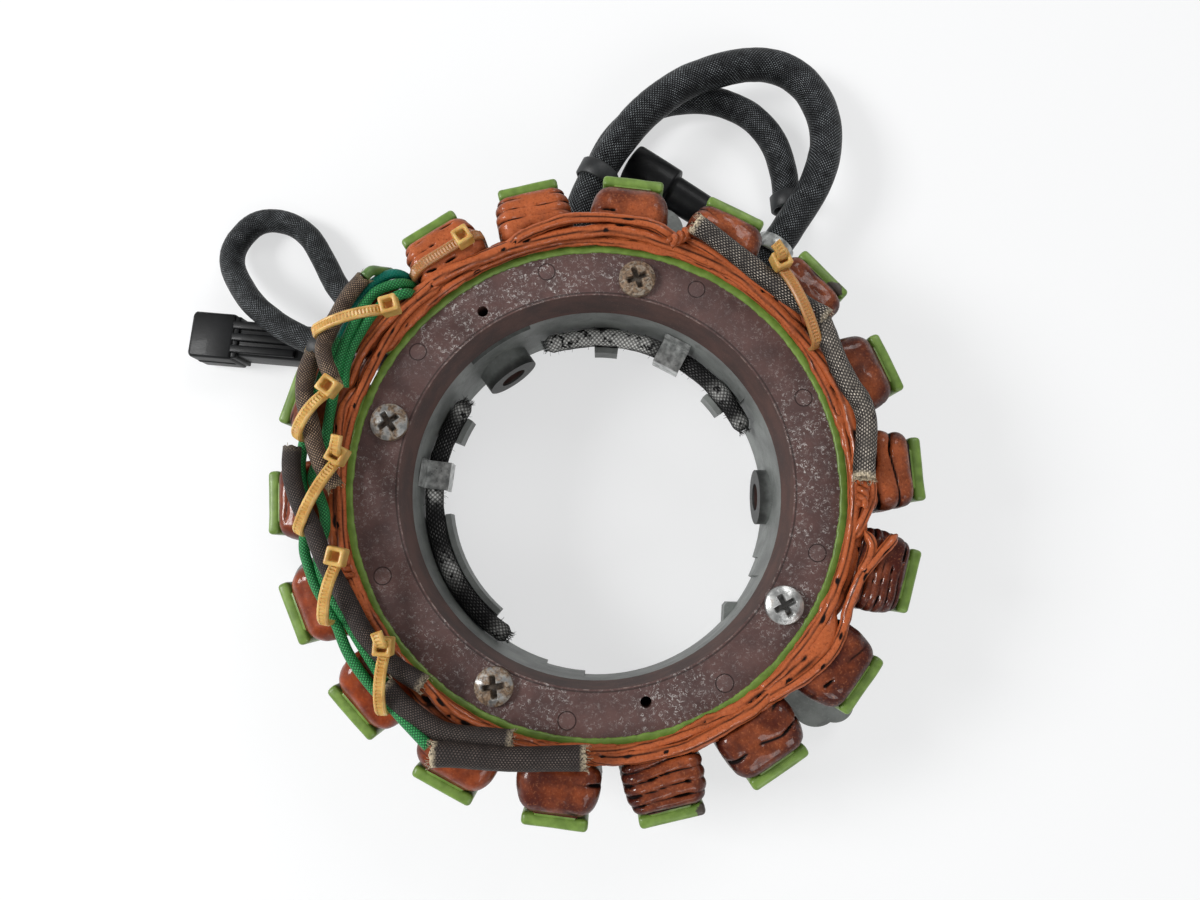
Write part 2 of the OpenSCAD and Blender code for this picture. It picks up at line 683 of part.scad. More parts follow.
band(top_route, top_ferrule_at, top_cord_r, steel);  // top_harness_ferrule
cord(low_route, low_cord_r);  // low_harness_cord
band(low_route, low_band_at, low_cord_r, black);  // low_harness_band
cord(smooth(low_tail, 2), tail_r);  // low_harness_tail
top_connector();
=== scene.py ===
import math
import random

import bmesh
import bpy
import numpy as np
from mathutils import Matrix, Vector


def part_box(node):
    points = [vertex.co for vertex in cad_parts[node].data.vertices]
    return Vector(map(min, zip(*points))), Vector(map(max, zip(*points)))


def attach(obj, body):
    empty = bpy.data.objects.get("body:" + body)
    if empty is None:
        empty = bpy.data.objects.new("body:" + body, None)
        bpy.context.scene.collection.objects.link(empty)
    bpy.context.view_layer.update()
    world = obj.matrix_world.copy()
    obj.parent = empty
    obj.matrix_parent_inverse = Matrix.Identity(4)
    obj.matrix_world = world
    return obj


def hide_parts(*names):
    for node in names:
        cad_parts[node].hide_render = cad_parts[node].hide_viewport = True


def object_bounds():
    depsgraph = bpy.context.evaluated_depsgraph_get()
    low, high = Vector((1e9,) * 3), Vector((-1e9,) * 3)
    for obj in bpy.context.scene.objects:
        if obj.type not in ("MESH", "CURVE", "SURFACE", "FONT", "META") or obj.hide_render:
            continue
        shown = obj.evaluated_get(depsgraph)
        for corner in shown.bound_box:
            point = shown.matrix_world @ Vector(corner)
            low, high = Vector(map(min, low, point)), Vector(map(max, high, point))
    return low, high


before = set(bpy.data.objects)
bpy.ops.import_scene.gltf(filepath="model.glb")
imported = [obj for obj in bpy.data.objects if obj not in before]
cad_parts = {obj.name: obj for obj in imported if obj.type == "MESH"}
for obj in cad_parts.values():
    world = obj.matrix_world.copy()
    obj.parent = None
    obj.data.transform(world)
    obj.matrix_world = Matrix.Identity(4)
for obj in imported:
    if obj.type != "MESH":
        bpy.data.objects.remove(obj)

mm = 0.001
sky = (0, 0, 1)
scene = bpy.context.scene
cadBox = [list(corner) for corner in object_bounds()]
dice = random.Random(18)


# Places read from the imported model, in millimetres

def heights(node):
    return [corner[2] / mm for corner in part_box(node)]


stackBottom, faceZ = heights("core_stack")
coatBottom, coatTop = heights("pole_coating")
coilTop = heights("coil_18")[1]
midZ = (stackBottom + faceZ) / 2
poleAngles = {k: 3 + 20 * k for k in range(1, 19)}


def turned(points, angle):
    c, s = math.cos(math.radians(angle)), math.sin(math.radians(angle))
    return np.asarray(points, float) @ np.array([[c, s, 0], [-s, c, 0], [0, 0, 1]])


def polar(r, angle, z):
    return [r * math.cos(math.radians(angle)), r * math.sin(math.radians(angle)), z]


# Camera, fitted to the circles in the photo

photoView = {"place": (1.9, -18.7, 244.5), "tilt": -7.9, "roll": -0.26, "lens": 24.0, "sensor": 36}
scene.view_settings.view_transform = "Standard"
cameraData = bpy.data.cameras.new("photoCamera")
cameraData.sensor_fit, cameraData.sensor_width = "HORIZONTAL", photoView["sensor"]
cameraData.lens, cameraData.clip_start = photoView["lens"], 0.01
camera = bpy.data.objects.new("photoCamera", cameraData)
scene.collection.objects.link(camera)
look = Matrix.Rotation(math.radians(photoView["tilt"]), 3, "X") @ \
    Matrix.Rotation(math.radians(photoView["roll"]), 3, "Y")
camera.matrix_world = Matrix.Translation(Vector(photoView["place"]) * mm) @ look.transposed().to_4x4()
scene.camera = camera


# Shader maths as Python expressions

class Flow:
    def __init__(self, tree, socket):
        self.tree, self.socket = tree, socket

    def maths(self, how, other=None, swap=False):
        node = self.tree.nodes.new("ShaderNodeMath")
        node.operation = how
        for slot, value in zip(node.inputs, [other, self] if swap else [self, other]):
            feed(self.tree, slot, value)
        return Flow(self.tree, node.outputs[0])

    def __add__(self, other): return self.maths("ADD", other)
    def __radd__(self, other): return self.maths("ADD", other)
    def __sub__(self, other): return self.maths("SUBTRACT", other)
    def __rsub__(self, other): return self.maths("SUBTRACT", other, swap=True)
    def __mul__(self, other): return self.maths("MULTIPLY", other)
    def __rmul__(self, other): return self.maths("MULTIPLY", other)
    def __truediv__(self, other): return self.maths("DIVIDE", other)
    def __rtruediv__(self, other): return self.maths("DIVIDE", other, swap=True)
    def __pow__(self, other): return self.maths("POWER", other)
    def __rpow__(self, other): return self.maths("POWER", other, swap=True)
    def __abs__(self): return self.maths("ABSOLUTE")

    def fade(self, low, high):  # 0 at low, 1 at high, smooth between
        if low > high:
            return 1 - self.fade(high, low)
        node = self.tree.nodes.new("ShaderNodeMapRange")
        node.interpolation_type = "SMOOTHSTEP"
        for name, value in (("Value", self), ("From Min", low), ("From Max", high)):
            feed(self.tree, node.inputs[name], value)
        return Flow(self.tree, node.outputs[0])


def feed(tree, slot, value):
    if isinstance(value, Flow):
        tree.links.new(value.socket, slot)
    elif value is not None:
        slot.default_value = value


def highest(first, *others):
    for other in others:
        first = first.maths("MAXIMUM", other)
    return first


def paint(red, green, blue):  # an sRGB colour of 0 to 255 as linear light
    return [v / 12.92 if v <= 0.04045 else ((v + 0.055) / 1.055) ** 2.4
            for v in (red / 255, green / 255, blue / 255)]


class Graph:
    def __init__(self, tree):
        self.tree = tree

    def node(self, kind, settings=None, out=0, **inputs):
        node = self.tree.nodes.new("ShaderNode" + kind)
        for key, value in (settings or {}).items():
            setattr(node, key, value)
        for key, value in inputs.items():
            feed(self.tree, node.inputs[key.replace("_", " ")], value)
        return Flow(self.tree, node.outputs[out])

    def split(self, vector):
        node = self.tree.nodes.new("ShaderNodeSeparateXYZ")
        feed(self.tree, node.inputs[0], vector)
        return [Flow(self.tree, socket) for socket in node.outputs]

    def blend(self, mask, first, second):  # a tuple is an sRGB colour of 0 to 255, a list is linear light
        node = self.tree.nodes.new("ShaderNodeMix")
        node.data_type = "RGBA"
        feed(self.tree, node.inputs[0], mask)
        for slot, value in zip(node.inputs[6:8], (first, second)):
            value = paint(*value) if isinstance(value, tuple) else value
            feed(self.tree, slot, (*value, 1) if isinstance(value, list) else value)
        return Flow(self.tree, node.outputs[2])

    def mottle(self, cloud, low, high):
        return self.blend(cloud.fade(0.3, 0.7), low, high)

    def layers(self, tone, *coats):  # each coat is a mask and the colour laid over the tone there
        for mask, colour in coats:
            tone = self.blend(mask, tone, colour)
        return tone


class Finish(Graph):
    def __init__(self, name, **fixed):
        self.material = bpy.data.materials.new(name)
        self.material.use_nodes = True
        Graph.__init__(self, self.material.node_tree)
        self.shader = self.tree.nodes["Principled BSDF"]
        for key, value in fixed.items():
            self.shader.inputs[key.replace("_", " ")].default_value = value

    def place(self):
        return self.node("TexCoord", out="Object")

    def fromAxis(self):  # distance from the Z axis in millimetres
        x, y, _ = self.split(self.place())
        return (x * x + y * y).maths("SQRT") / mm

    def near(self, spot, size):  # 1 at a spot, 0 from the given distance on, in millimetres
        node = self.tree.nodes.new("ShaderNodeVectorMath")
        node.operation = "DISTANCE"
        feed(self.tree, node.inputs[0], self.place())
        node.inputs[1].default_value = tuple(v * mm for v in spot)
        return 1 - Flow(self.tree, node.outputs["Value"]) / (size * mm)

    def noise(self, size, detail=3, rough=0.55, warp=0.0):  # size in millimetres
        return self.node("TexNoise", {"noise_dimensions": "3D"}, Vector=self.place(), Scale=1 / (size * mm),
                         Detail=detail, Roughness=rough, Distortion=warp)

    def field(self, name):
        return self.node("Attribute", {"attribute_name": name}, out="Fac")

    def drive(self, height=None, depth=0.2, strength=0.5, **sockets):  # depth of the bump in millimetres
        for key, value in sockets.items():
            feed(self.tree, self.shader.inputs[key.replace("_", " ")], value)
        if height is not None:
            bump = self.node("Bump", Strength=strength, Distance=depth * mm, Height=height)
            feed(self.tree, self.shader.inputs["Normal"], bump)
        return self.material


# Floor, world and lamps: place, size and power of each lamp

studio = {"floorSize": 4.0, "floorGap": 0.0002, "floorShade": [0.93, 0.935, 0.94], "floorCloud": [0.9, 0.905, 0.912],
          "floorGlow": (0.97, 0.975, 0.98, 1), "floorLift": 0.6, "horizon": [0.88, 0.885, 0.89],
          "zenith": [0.34, 0.34, 0.34], "target": (0, 0, 0.03),
          "lamps": [((-0.76, 0.06, 0.66), 0.3, 7.4), ((0.36, 0.6, 0.72), 0.34, 1.9), ((0.3, -0.58, 0.64), 0.36, 1.7)]}


def shownRays(tree):  # camera, mirror and clear rays meet the white background
    path = tree.nodes.new("ShaderNodeLightPath")
    names = "Is Camera Ray", "Is Glossy Ray", "Is Transmission Ray"
    return highest(*(Flow(tree, path.outputs[name]) for name in names))


def layFloor():
    half = studio["floorSize"] / 2
    mesh = bpy.data.meshes.new("floor")
    mesh.from_pydata([(-half, -half, 0), (half, -half, 0), (half, half, 0), (-half, half, 0)], [], [(0, 1, 2, 3)])
    floor = bpy.data.objects.new("floor", mesh)
    floor.location.z = cadBox[0][2] - studio["floorGap"]
    scene.collection.objects.link(floor)
    skin = Finish("palePaper", Roughness=0.7)
    skin.drive(Base_Color=skin.blend(skin.noise(60, detail=2) * 0.25, studio["floorShade"], studio["floorCloud"]))
    glow = skin.node("Emission", Color=studio["floorGlow"])
    mix = skin.tree.nodes.new("ShaderNodeMixShader")
    shader = Flow(skin.tree, skin.shader.outputs[0])
    for slot, value in zip(mix.inputs, (shownRays(skin.tree) * studio["floorLift"], shader, glow)):
        feed(skin.tree, slot, value)
    skin.tree.links.new(mix.outputs[0], skin.tree.nodes["Material Output"].inputs["Surface"])
    mesh.materials.append(skin.material)


def lightStudio():
    world = bpy.data.worlds.new("paleRoom")
    scene.world = world
    world.use_nodes = True
    room = Graph(world.node_tree)
    _, _, rise = room.split(room.node("TexCoord", out="Generated"))
    feed(room.tree, room.tree.nodes["Background"].inputs["Color"],
         room.blend(rise.fade(0.08, 0.4), studio["horizon"], studio["zenith"]))
    for i, (spot, size, power) in enumerate(studio["lamps"]):
        lamp = bpy.data.lights.new(f"softbox{i}", "AREA")
        lamp.energy, lamp.size = power, size
        holder = bpy.data.objects.new(f"softbox{i}", lamp)
        holder.location = spot
        holder.rotation_euler = (Vector(studio["target"]) - Vector(spot)).to_track_quat("-Z", "Y").to_euler()
        scene.collection.objects.link(holder)


layFloor()
lightStudio()
print("camera, floor and light are set")


# Shapes: points in millimetres, faces, weave coordinates and point fields

def shapeOf(verts, faces, uv=None, **fields):
    verts = np.asarray(verts, float).reshape(-1, 3)
    return {"verts": verts, "faces": faces, "uv": uv,
            "fields": {name: np.broadcast_to(np.ravel(value), len(verts)) for name, value in fields.items()}}


def joined(shapes):
    faces, uv, start = [], [], 0
    names = sorted({name for shape in shapes for name in shape["fields"]})
    withUv = any(shape["uv"] for shape in shapes)
    for shape in shapes:
        faces += [[i + start for i in face] for face in shape["faces"]]
        if withUv:
            uv += shape["uv"] or [(0, 0)] * sum(len(face) for face in shape["faces"])
        start += len(shape["verts"])
    fields = {name: np.concatenate([shape["fields"].get(name, np.zeros(len(shape["verts"]))) for shape in shapes])
              for name in names}
    return shapeOf(np.concatenate([shape["verts"] for shape in shapes]), faces, uv or None, **fields)


def addPiece(name, shape, skin, slot, *stands, smooth=True):
    mesh = bpy.data.meshes.new(name)
    mesh.from_pydata((shape["verts"] * mm).tolist(), [], shape["faces"])
    mesh.polygons.foreach_set("use_smooth", [smooth] * len(mesh.polygons))
    if shape["uv"]:
        layer = mesh.uv_layers.new(name="weave")
        layer.data.foreach_set("uv", np.asarray(shape["uv"], float).ravel())
    for key, values in shape["fields"].items():
        field = mesh.attributes.new(key, "FLOAT", "POINT")
        field.data.foreach_set("value", np.array(values, float))
    mesh.materials.append(skin)
    piece = bpy.data.objects.new(name, mesh)
    scene.collection.objects.link(piece)
    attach(piece, "root")
    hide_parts(*stands)
    return piece


def nodeName(name):  # sleeveLeftUpper stands for sleeve_left_upper
    return "".join("_" + letter.lower() if letter.isupper() else letter for letter in name)


def rough(points, size, seed):  # smooth random values from -1 to 1 on a lattice
    q = np.asarray(points, float) / size + 31.7 * seed
    cell = np.floor(q).astype(np.int64)
    f = q - cell
    f = f * f * (3 - 2 * f)
    total = np.zeros(q.shape[:-1])
    for corner in np.ndindex(2, 2, 2):
        a, b, c = (cell[..., i] + corner[i] for i in range(3))
        n = ((a * 73856093 ^ b * 19349663 ^ c * 83492791) + seed * 6971) & 0x7fffffff
        n = (n * ((n * n * 15731 + 789221) & 0x7fffffff) + 1376312589) & 0x7fffffff
        wx, wy, wz = (f[..., i] if corner[i] else 1 - f[..., i] for i in range(3))
        total += wx * wy * wz * (n / 0x3fffffff - 1)
    return total


def ramp(x, low, high):
    t = np.clip((np.asarray(x, float) - low) / (high - low), 0, 1)
    return t * t * (3 - 2 * t)


def unit(v):
    return v / np.linalg.norm(v, axis=-1, keepdims=True)


def spokes(count):
    return 2 * math.pi * np.arange(count) / count


def distances(path):
    return np.r_[0, np.cumsum(np.linalg.norm(np.diff(path, axis=0), axis=1))]


def lengthOf(path):
    return float(np.linalg.norm(np.diff(path, axis=0), axis=1).sum())


def smoothPath(points, step):  # a curve through the points, cut into even steps
    p = np.asarray(points, float)
    p = np.vstack([2 * p[0] - p[1], p, 2 * p[-1] - p[-2]])
    fine = []
    for a, b, c, d in zip(p, p[1:], p[2:], p[3:]):
        for t in np.linspace(0, 1, 12, endpoint=False):
            fine.append(b + (c - a) * t / 2 + (2 * a - 5 * b + 4 * c - d) * t * t / 2
                        + (3 * b - a - 3 * c + d) * t ** 3 / 2)
    fine = np.array(fine + [p[-2]])
    along = distances(fine)
    even = np.linspace(0, along[-1], max(3, int(round(along[-1] / step)) + 1))
    return np.column_stack([np.interp(even, along, fine[:, i]) for i in range(3)])


def guides(path, up=None):  # heading, side and top direction at each point
    heading = unit(np.gradient(path, axis=0))
    if up is not None:
        side = unit(np.cross(heading, up))
    else:
        rows = [unit(np.cross(heading[0], sky if abs(heading[0][2]) < 0.9 else (1, 0, 0)))]
        for ahead in heading[1:]:
            rows.append(unit(rows[-1] - ahead * np.dot(rows[-1], ahead)))
        side = np.array(rows)
    return heading, side, np.cross(side, heading)


def around(path, sides, tall=1.0, up=None):  # directions out of a path, ring by ring
    _, side, top = guides(path, up)
    angle = spokes(sides)[:, None]
    return np.cos(angle) * side[:, None] + tall * np.sin(angle) * top[:, None]


def gridFaces(rows, cols):
    return [[i * cols + j, i * cols + (j + 1) % cols, (i + 1) * cols + (j + 1) % cols, (i + 1) * cols + j]
            for i in range(rows - 1) for j in range(cols)]


def capFaces(rows, cols):
    return [list(range(cols))[::-1], [(rows - 1) * cols + j for j in range(cols)]]


def weaveUv(along, sides):
    return [(along[i + ahead], (j + aside) / sides) for i in range(len(along) - 1) for j in range(sides)
            for ahead, aside in ((0, 0), (0, 1), (1, 1), (1, 0))]


def tubeShape(path, radius, sides, tall=1.0, up=None, **fields):
    count, along, reach = len(path), distances(path), np.asarray(radius, float)
    reach = np.broadcast_to(reach[:, None] if reach.ndim == 1 else reach, (count, sides))
    uv = weaveUv(along, sides) + [(along[0], 0)] * sides + [(along[-1], 0)] * sides
    return shapeOf(path[:, None] + reach[..., None] * around(path, sides, tall, up),
                   gridFaces(count, sides) + capFaces(count, sides), uv, **fields)


def cube(size):
    bm = bmesh.new()
    bmesh.ops.create_cube(bm, size=1)
    bmesh.ops.scale(bm, vec=size, verts=bm.verts)
    return bm


def sunk(bm, axis, border, depth):  # a pocket in the face that looks along an axis
    face = max(bm.faces, key=lambda f: f.calc_center_median()[axis])
    bmesh.ops.inset_region(bm, faces=[face], thickness=border)
    bottom = bmesh.ops.extrude_discrete_faces(bm, faces=[face])["faces"][0]
    bmesh.ops.translate(bm, vec=[-depth * (i == axis) for i in range(3)], verts=bottom.verts)
    return bm


def rounded(bm, bevel, segments=3):
    bmesh.ops.bevel(bm, geom=bm.edges[:], offset=bevel, segments=segments, profile=0.5, affect="EDGES")
    return bm


def bmeshShape(bm, **fields):
    bm.verts.index_update()
    verts = [list(v.co) for v in bm.verts]
    faces = [[v.index for v in face.verts] for face in bm.faces]
    bm.free()
    return shapeOf(verts, faces, **fields)


def moved(shape, shift, angle=0.0):
    return {**shape, "verts": turned(shape["verts"], angle) + np.asarray(shift, float)}


def blockTo(low, high, bevel):  # a rounded block between two corners
    low, high = np.asarray(low, float), np.asarray(high, float)
    return moved(bmeshShape(rounded(cube(tuple(high - low)), bevel)), (low + high) / 2)


def lathe(profile, segments):  # profile of (radius, height) about the Z axis
    r, z = np.array(profile, float).T[:, :, None]
    angle = spokes(segments)
    return shapeOf(np.stack([r * np.cos(angle), r * np.sin(angle), z + 0 * angle], -1),
                   gridFaces(len(profile), segments))


def aimed(shape, origin, heading):  # turns the Z axis of a shape along a direction
    turn = np.array(Vector(heading).to_track_quat("Z", "Y").to_matrix())
    return {**shape, "verts": shape["verts"] @ turn.T + np.asarray(origin, float)}


def hairs(origins, headings, length, thick, bend, **fields):  # short loose fibres
    shapes = []
    for origin, heading in zip(origins, headings):
        push = Vector([dice.uniform(-1, 1) for _ in range(3)]) * bend
        reach = length * dice.uniform(0.5, 1.2)
        start = Vector(origin)
        middle = start + (Vector(heading) + push * 0.4).normalized() * reach * 0.55
        end = middle + (Vector(heading) + push * 1.4).normalized() * reach * 0.45
        shapes.append(tubeShape(np.array([start, middle, end]), np.array([thick, thick, thick * 0.5]), 3, **fields))
    return joined(shapes)


# Finishes

def weaveFinish(name, ground, thread, glint, pitch, count, level, gloss=0.6, end=None, dye=None, shine=0.3):
    skin = Finish(name, Specular_IOR_Level=shine)
    x, y, _ = skin.split(skin.node("UVMap", {"uv_map": "weave"}))
    p, q = x / pitch + y * count, x / pitch - y * count
    cx, cy = p.maths("FRACT") - 0.5, q.maths("FRACT") - 0.5
    along, across = cx + cy, cx - cy
    crown = (cx * cx + cy * cy).maths("SQRT").fade(0.55, 0.1)  # high in the middle of a crossing
    dash = (along * along * 0.5 + across * across * 4.5).maths("SQRT").fade(0.5, 0.3)
    cell = skin.node("CombineXYZ", X=p.maths("FLOOR"), Y=q.maths("FLOOR"))
    chance = skin.node("TexWhiteNoise", {"noise_dimensions": "3D"}, Vector=cell)
    patch = skin.noise(4).fade(0.35, 0.68)
    # bright marks worn white threads on the inner cables, and a painted sheen on the tops of the cords and sleeves
    worn = skin.field("bright") * (crown * 0.75 + 0.25) * skin.noise(2.4).fade(0.36, 0.46)
    lit = dash * (chance * 0.6 + 0.4) * (patch * 0.75 + 0.25) * level
    lit = (lit + worn).maths("MINIMUM", 1.0)
    tone = skin.layers(ground, (crown, thread), (lit, glint))
    if dye is not None:
        tone = skin.blend(skin.field("dyed"), tone, skin.blend(crown * 0.5, dye, [v * 1.3 for v in paint(*dye)]))
    if end is not None:
        tone = skin.blend(skin.field("frayed") * skin.noise(0.5).fade(0.3, 0.6), tone, end)
    return skin.drive(height=crown, depth=0.2, strength=0.7, Base_Color=tone,
                      Roughness=gloss + 0.2 * skin.noise(1.5) - lit * 0.1)


def varnishFinish():
    skin = Finish("lacqueredCopper", Coat_Roughness=0.07, Specular_IOR_Level=0.14, IOR=1.45)
    warm, cavity, gloss = skin.field("warm"), skin.field("cavity"), skin.field("gloss")
    matt = 1 - gloss * 0.7
    cloud, smear = skin.noise(5), skin.noise(2.2, detail=2, warp=1.2)
    grain = skin.noise(0.6, rough=0.62)
    # warm also carries painted shade on the sides and ends of each winding
    tone = skin.blend((warm + (cloud - 0.5) * 0.9).fade(0.0, 1.0), (64, 22, 14), (174, 90, 50))
    # the pale grain flecks are a painted highlight; the dark flecks are grain in the lacquer
    tone = skin.layers(tone, (gloss.fade(0.62, 0.95) * 0.8, skin.mottle(cloud, (104, 36, 12), (150, 62, 20))),
                       (grain.fade(0.54, 0.74) * 0.42 * matt, (210, 134, 86)),
                       (grain.fade(0.47, 0.3) * 0.6 * matt, (46, 17, 11)), (cavity.fade(0.06, 0.6), (17, 8, 7)))
    # cavity is painted shade, laid near black over the tone in creases, slots and gaps; it also roughens the lacquer
    # and takes the coat away there
    return skin.drive(height=(grain * 0.4 + smear * 0.6) * matt, depth=0.34, strength=0.55, Base_Color=tone,
                      Roughness=0.42 + 0.2 * skin.noise(1.2) - gloss * 0.14 + cavity * 0.3,
                      Coat_Weight=(0.1 + 0.35 * smear.fade(0.42, 0.62) + gloss * 0.2) * (1 - cavity.fade(0.1, 0.5)))


def coatFinish(chips):  # place and size of each chip
    skin = Finish("greenPowderCoat", Coat_Roughness=0.25, IOR=1.5)
    cloud, fine = skin.noise(3.0), skin.noise(0.35, detail=2)
    tone = skin.blend(cloud.fade(0.3, 0.72), (92, 120, 43), (116, 146, 61))
    tone = skin.layers(tone, (fine.fade(0.62, 0.85) * 0.3, (146, 170, 100)),
                       (fine.fade(0.38, 0.18) * 0.4, (58, 78, 28)))
    for spot, size in chips:
        worn = (skin.near(spot, size) + (skin.noise(1.4) - 0.5) * 1.1).fade(0.0, 0.2)
        tone = skin.blend(worn, tone, (58, 48, 40))
    return skin.drive(height=fine * 0.4 + cloud, depth=0.12, Base_Color=tone,
                      Roughness=0.34 + 0.2 * fine, Coat_Weight=0.25 * cloud)


# places on the core face where the paint is worn: angle, reach and strength
coreLook = {"boreR": 49.5, "rivetR": 57.2, "rivetReach": 3, "rivets": (1, 3, 5, 7, 10, 13, 15, 17), "wornR": 56,
            "worn": [(12, 22, 1.0), (105, 18, 1.0), (128, 20, 0.9), (88, 12, 0.6), (225, 16, 0.5), (250, 20, 0.7),
                     (290, 20, 0.8), (330, 18, 0.6), (352, 16, 0.7), (178, 14, 0.35)]}


def coreFinish(name, lift=0):
    skin = Finish(name, IOR=1.45)
    _, _, z = skin.split(skin.place())
    _, _, up = skin.split(skin.node("TexCoord", out="Normal"))
    edge = skin.fromAxis() - coreLook["boreR"]
    flat = up.fade(0.6, 0.9)
    cloud = skin.noise(9)
    worm = skin.noise(0.95, detail=2, rough=0.5, warp=1.1)
    fleck = abs(worm - 0.5).fade(0.05, 0.02) * skin.noise(1.1, detail=2).fade(0.46, 0.58)  # thin winding flecks
    dense = highest(cloud * 0.4, *(skin.near(polar(coreLook["wornR"], angle, faceZ), size).fade(0.0, 0.7) * level
                                   for angle, size, level in coreLook["worn"]))
    dense = dense * skin.noise(3.5, detail=4, rough=0.65).fade(0.34, 0.62) * flat * 0.85
    # rivet feeds a thin dark ring round each rivet: painted shade in the gap round its head
    rivet = highest(*(skin.near(polar(coreLook["rivetR"], poleAngles[k], faceZ), coreLook["rivetReach"])
                      for k in coreLook["rivets"]))
    # a thin dark ring painted on the face 0.6 mm out from the bore edge
    darkRing = abs(edge - 0.6).fade(0.3, 0.12) * flat
    # a pale line along the top edge of the bore: painted highlight on the edge, and worn paint
    line = edge.fade(0.3, 0.1) * (z / mm).fade(faceZ - 0.3, faceZ - 0.05) * skin.noise(1.6).fade(0.48, 0.66)
    face = skin.mottle(cloud, *(tuple(v + lift for v in shade) for shade in ((74, 54, 52), (94, 68, 64))))
    tone = skin.layers(skin.mottle(cloud, (60, 38, 33), (84, 54, 46)), (flat, face),
                       (skin.noise(0.5, detail=2).fade(0.6, 0.75) * 0.4, (120, 92, 86)),
                       (dense * skin.noise(1.3).fade(0.4, 0.7) * 0.25, (140, 134, 132)),
                       (fleck * dense, (206, 202, 198)), (darkRing * 0.7, (34, 25, 23)),
                       (abs(rivet - 0.28).fade(0.085, 0.03) * flat * 0.6, (32, 23, 21)),
                       (line * 0.35, (176, 160, 150)))
    return skin.drive(height=worm * 0.4 + cloud + fleck * dense, depth=0.1, Base_Color=tone,
                      Roughness=0.72 - 0.3 * flat + 0.2 * dense, Metallic=0.2 * dense)


castLook = {"bossZ": 8.3, "bossFaces": {0: 46.5, 125: 44.0}}  # angle of each boss and distance of its face


def castFinish():
    skin = Finish("greyCasting", IOR=1.5)
    cloud, fine, reach = skin.noise(8, detail=4), skin.noise(0.6), skin.fromAxis()
    tone = skin.layers(skin.mottle(cloud, (104, 107, 105), (132, 136, 133)),
                       (fine.fade(0.55, 0.8) * 0.35, (162, 165, 162)),
                       (skin.noise(4, detail=5, warp=1.0).fade(0.56, 0.75) * 0.5, (76, 77, 76)))
    for angle, face in castLook["bossFaces"].items():  # painted shade on the faces of the two bosses, and brown inside their holes
        bossShade = skin.near(polar(face - 1, angle, castLook["bossZ"]), 9) + (skin.noise(3) - 0.5) * 0.1
        hole = skin.near(polar(face + 4, angle, castLook["bossZ"]), 6).fade(0.02, 0.2)
        tone = skin.layers(tone, (bossShade.fade(0.0, 0.1) * reach.fade(face + 4.2, face + 2.6) * 0.85, (40, 40, 39)),
                           (hole * reach.fade(face + 0.3, face + 0.8), (70, 46, 41)))
    return skin.drive(height=fine + cloud, depth=0.16, Base_Color=tone,
                      Roughness=0.42 + 0.22 * fine, Metallic=0.08 * cloud)


def steelFinish(name, low, high, metal, rusty=False):
    skin = Finish(name)
    fine, cloud = skin.noise(0.7, detail=4), skin.noise(2.2, detail=4)
    tone = skin.mottle(cloud, low, high)
    shine, metal = 0.2 + 0.22 * fine, metal - 0.1 * cloud
    if rusty:
        rust = (skin.field("rust") + (cloud - 0.5) * 1.5).fade(0.35, 0.65)
        brown = skin.layers(skin.mottle(fine, (70, 54, 42), (140, 116, 92)),
                            (skin.noise(1.3, warp=1.0).fade(0.48, 0.66) * 0.7, (158, 150, 136)))
        # darker in the cross recess of each screw
        tone = skin.layers(tone, (rust, brown), (skin.field("pit") * 0.8, (40, 34, 30)))
        shine, metal = shine + rust * 0.35, metal - rust * 0.5
    return skin.drive(height=fine + cloud, depth=0.18 if rusty else 0.06, Base_Color=tone, Roughness=shine,
                      Metallic=metal)


def plasticFinish(name, low, high, gloss, coat=0.0, shine=0.5):
    skin = Finish(name, IOR=1.5, Specular_IOR_Level=shine)
    cloud, fine = skin.noise(4.8), skin.noise(0.36, detail=2)
    speck = [min(1.0, v * 1.6) for v in paint(*high)]
    tone = skin.layers(skin.mottle(cloud, low, high), (fine.fade(0.6, 0.8) * 0.3, speck))
    return skin.drive(height=fine, depth=0.06, strength=0.4, Base_Color=tone,
                      Roughness=gloss + 0.18 * fine, Coat_Weight=coat * cloud)


def amberFinish():
    skin = Finish("amberNylon", Subsurface_Weight=0.25, Subsurface_Scale=0.0015, IOR=1.53)
    cloud, fine = skin.noise(3.2), skin.noise(0.4, detail=2)
    # valley is painted shade: deeper amber in the rib valleys and in the window of the head
    tone = skin.layers(skin.mottle(cloud, (184, 142, 68), (214, 178, 102)),
                       (skin.field("aged") * (0.55 + 0.45 * cloud), (150, 94, 58)),
                       (skin.field("valley"), (196, 122, 36)))
    return skin.drive(height=fine, depth=0.05, strength=0.4, Base_Color=tone, Roughness=0.32 + 0.2 * fine)


varnish = varnishFinish()
cordBraid = weaveFinish("blackBraid", (3, 3, 4), (21, 23, 25), (170, 176, 180), 1.05, 30, 0.75, gloss=0.3, shine=0.1)
boreBraid = weaveFinish("wornBraid", (6, 6, 7), (20, 20, 22), (248, 248, 244), 1.3, 12, 0.22, gloss=0.74)
sleeveSkins = {
    "dotted": weaveFinish("dottedSleeve", (18, 15, 14), (42, 35, 33), (232, 220, 204), 0.95, 14, 1.0,
                          gloss=0.5, end=(228, 210, 178)),
    "plain": weaveFinish("plainSleeve", (22, 18, 17), (56, 46, 42), (132, 116, 106), 0.75, 17, 0.7,
                         gloss=0.5, end=(228, 210, 178)),
    "gold": weaveFinish("goldSleeve", (30, 21, 18), (74, 56, 48), (220, 188, 152), 0.75, 17, 1.0,
                        gloss=0.45, end=(222, 196, 150))}
greenBraid = weaveFinish("greenBraid", (8, 82, 42), (48, 156, 84), (128, 202, 134), 0.8, 9, 0.5,
                         gloss=0.36, dye=(0, 118, 100))
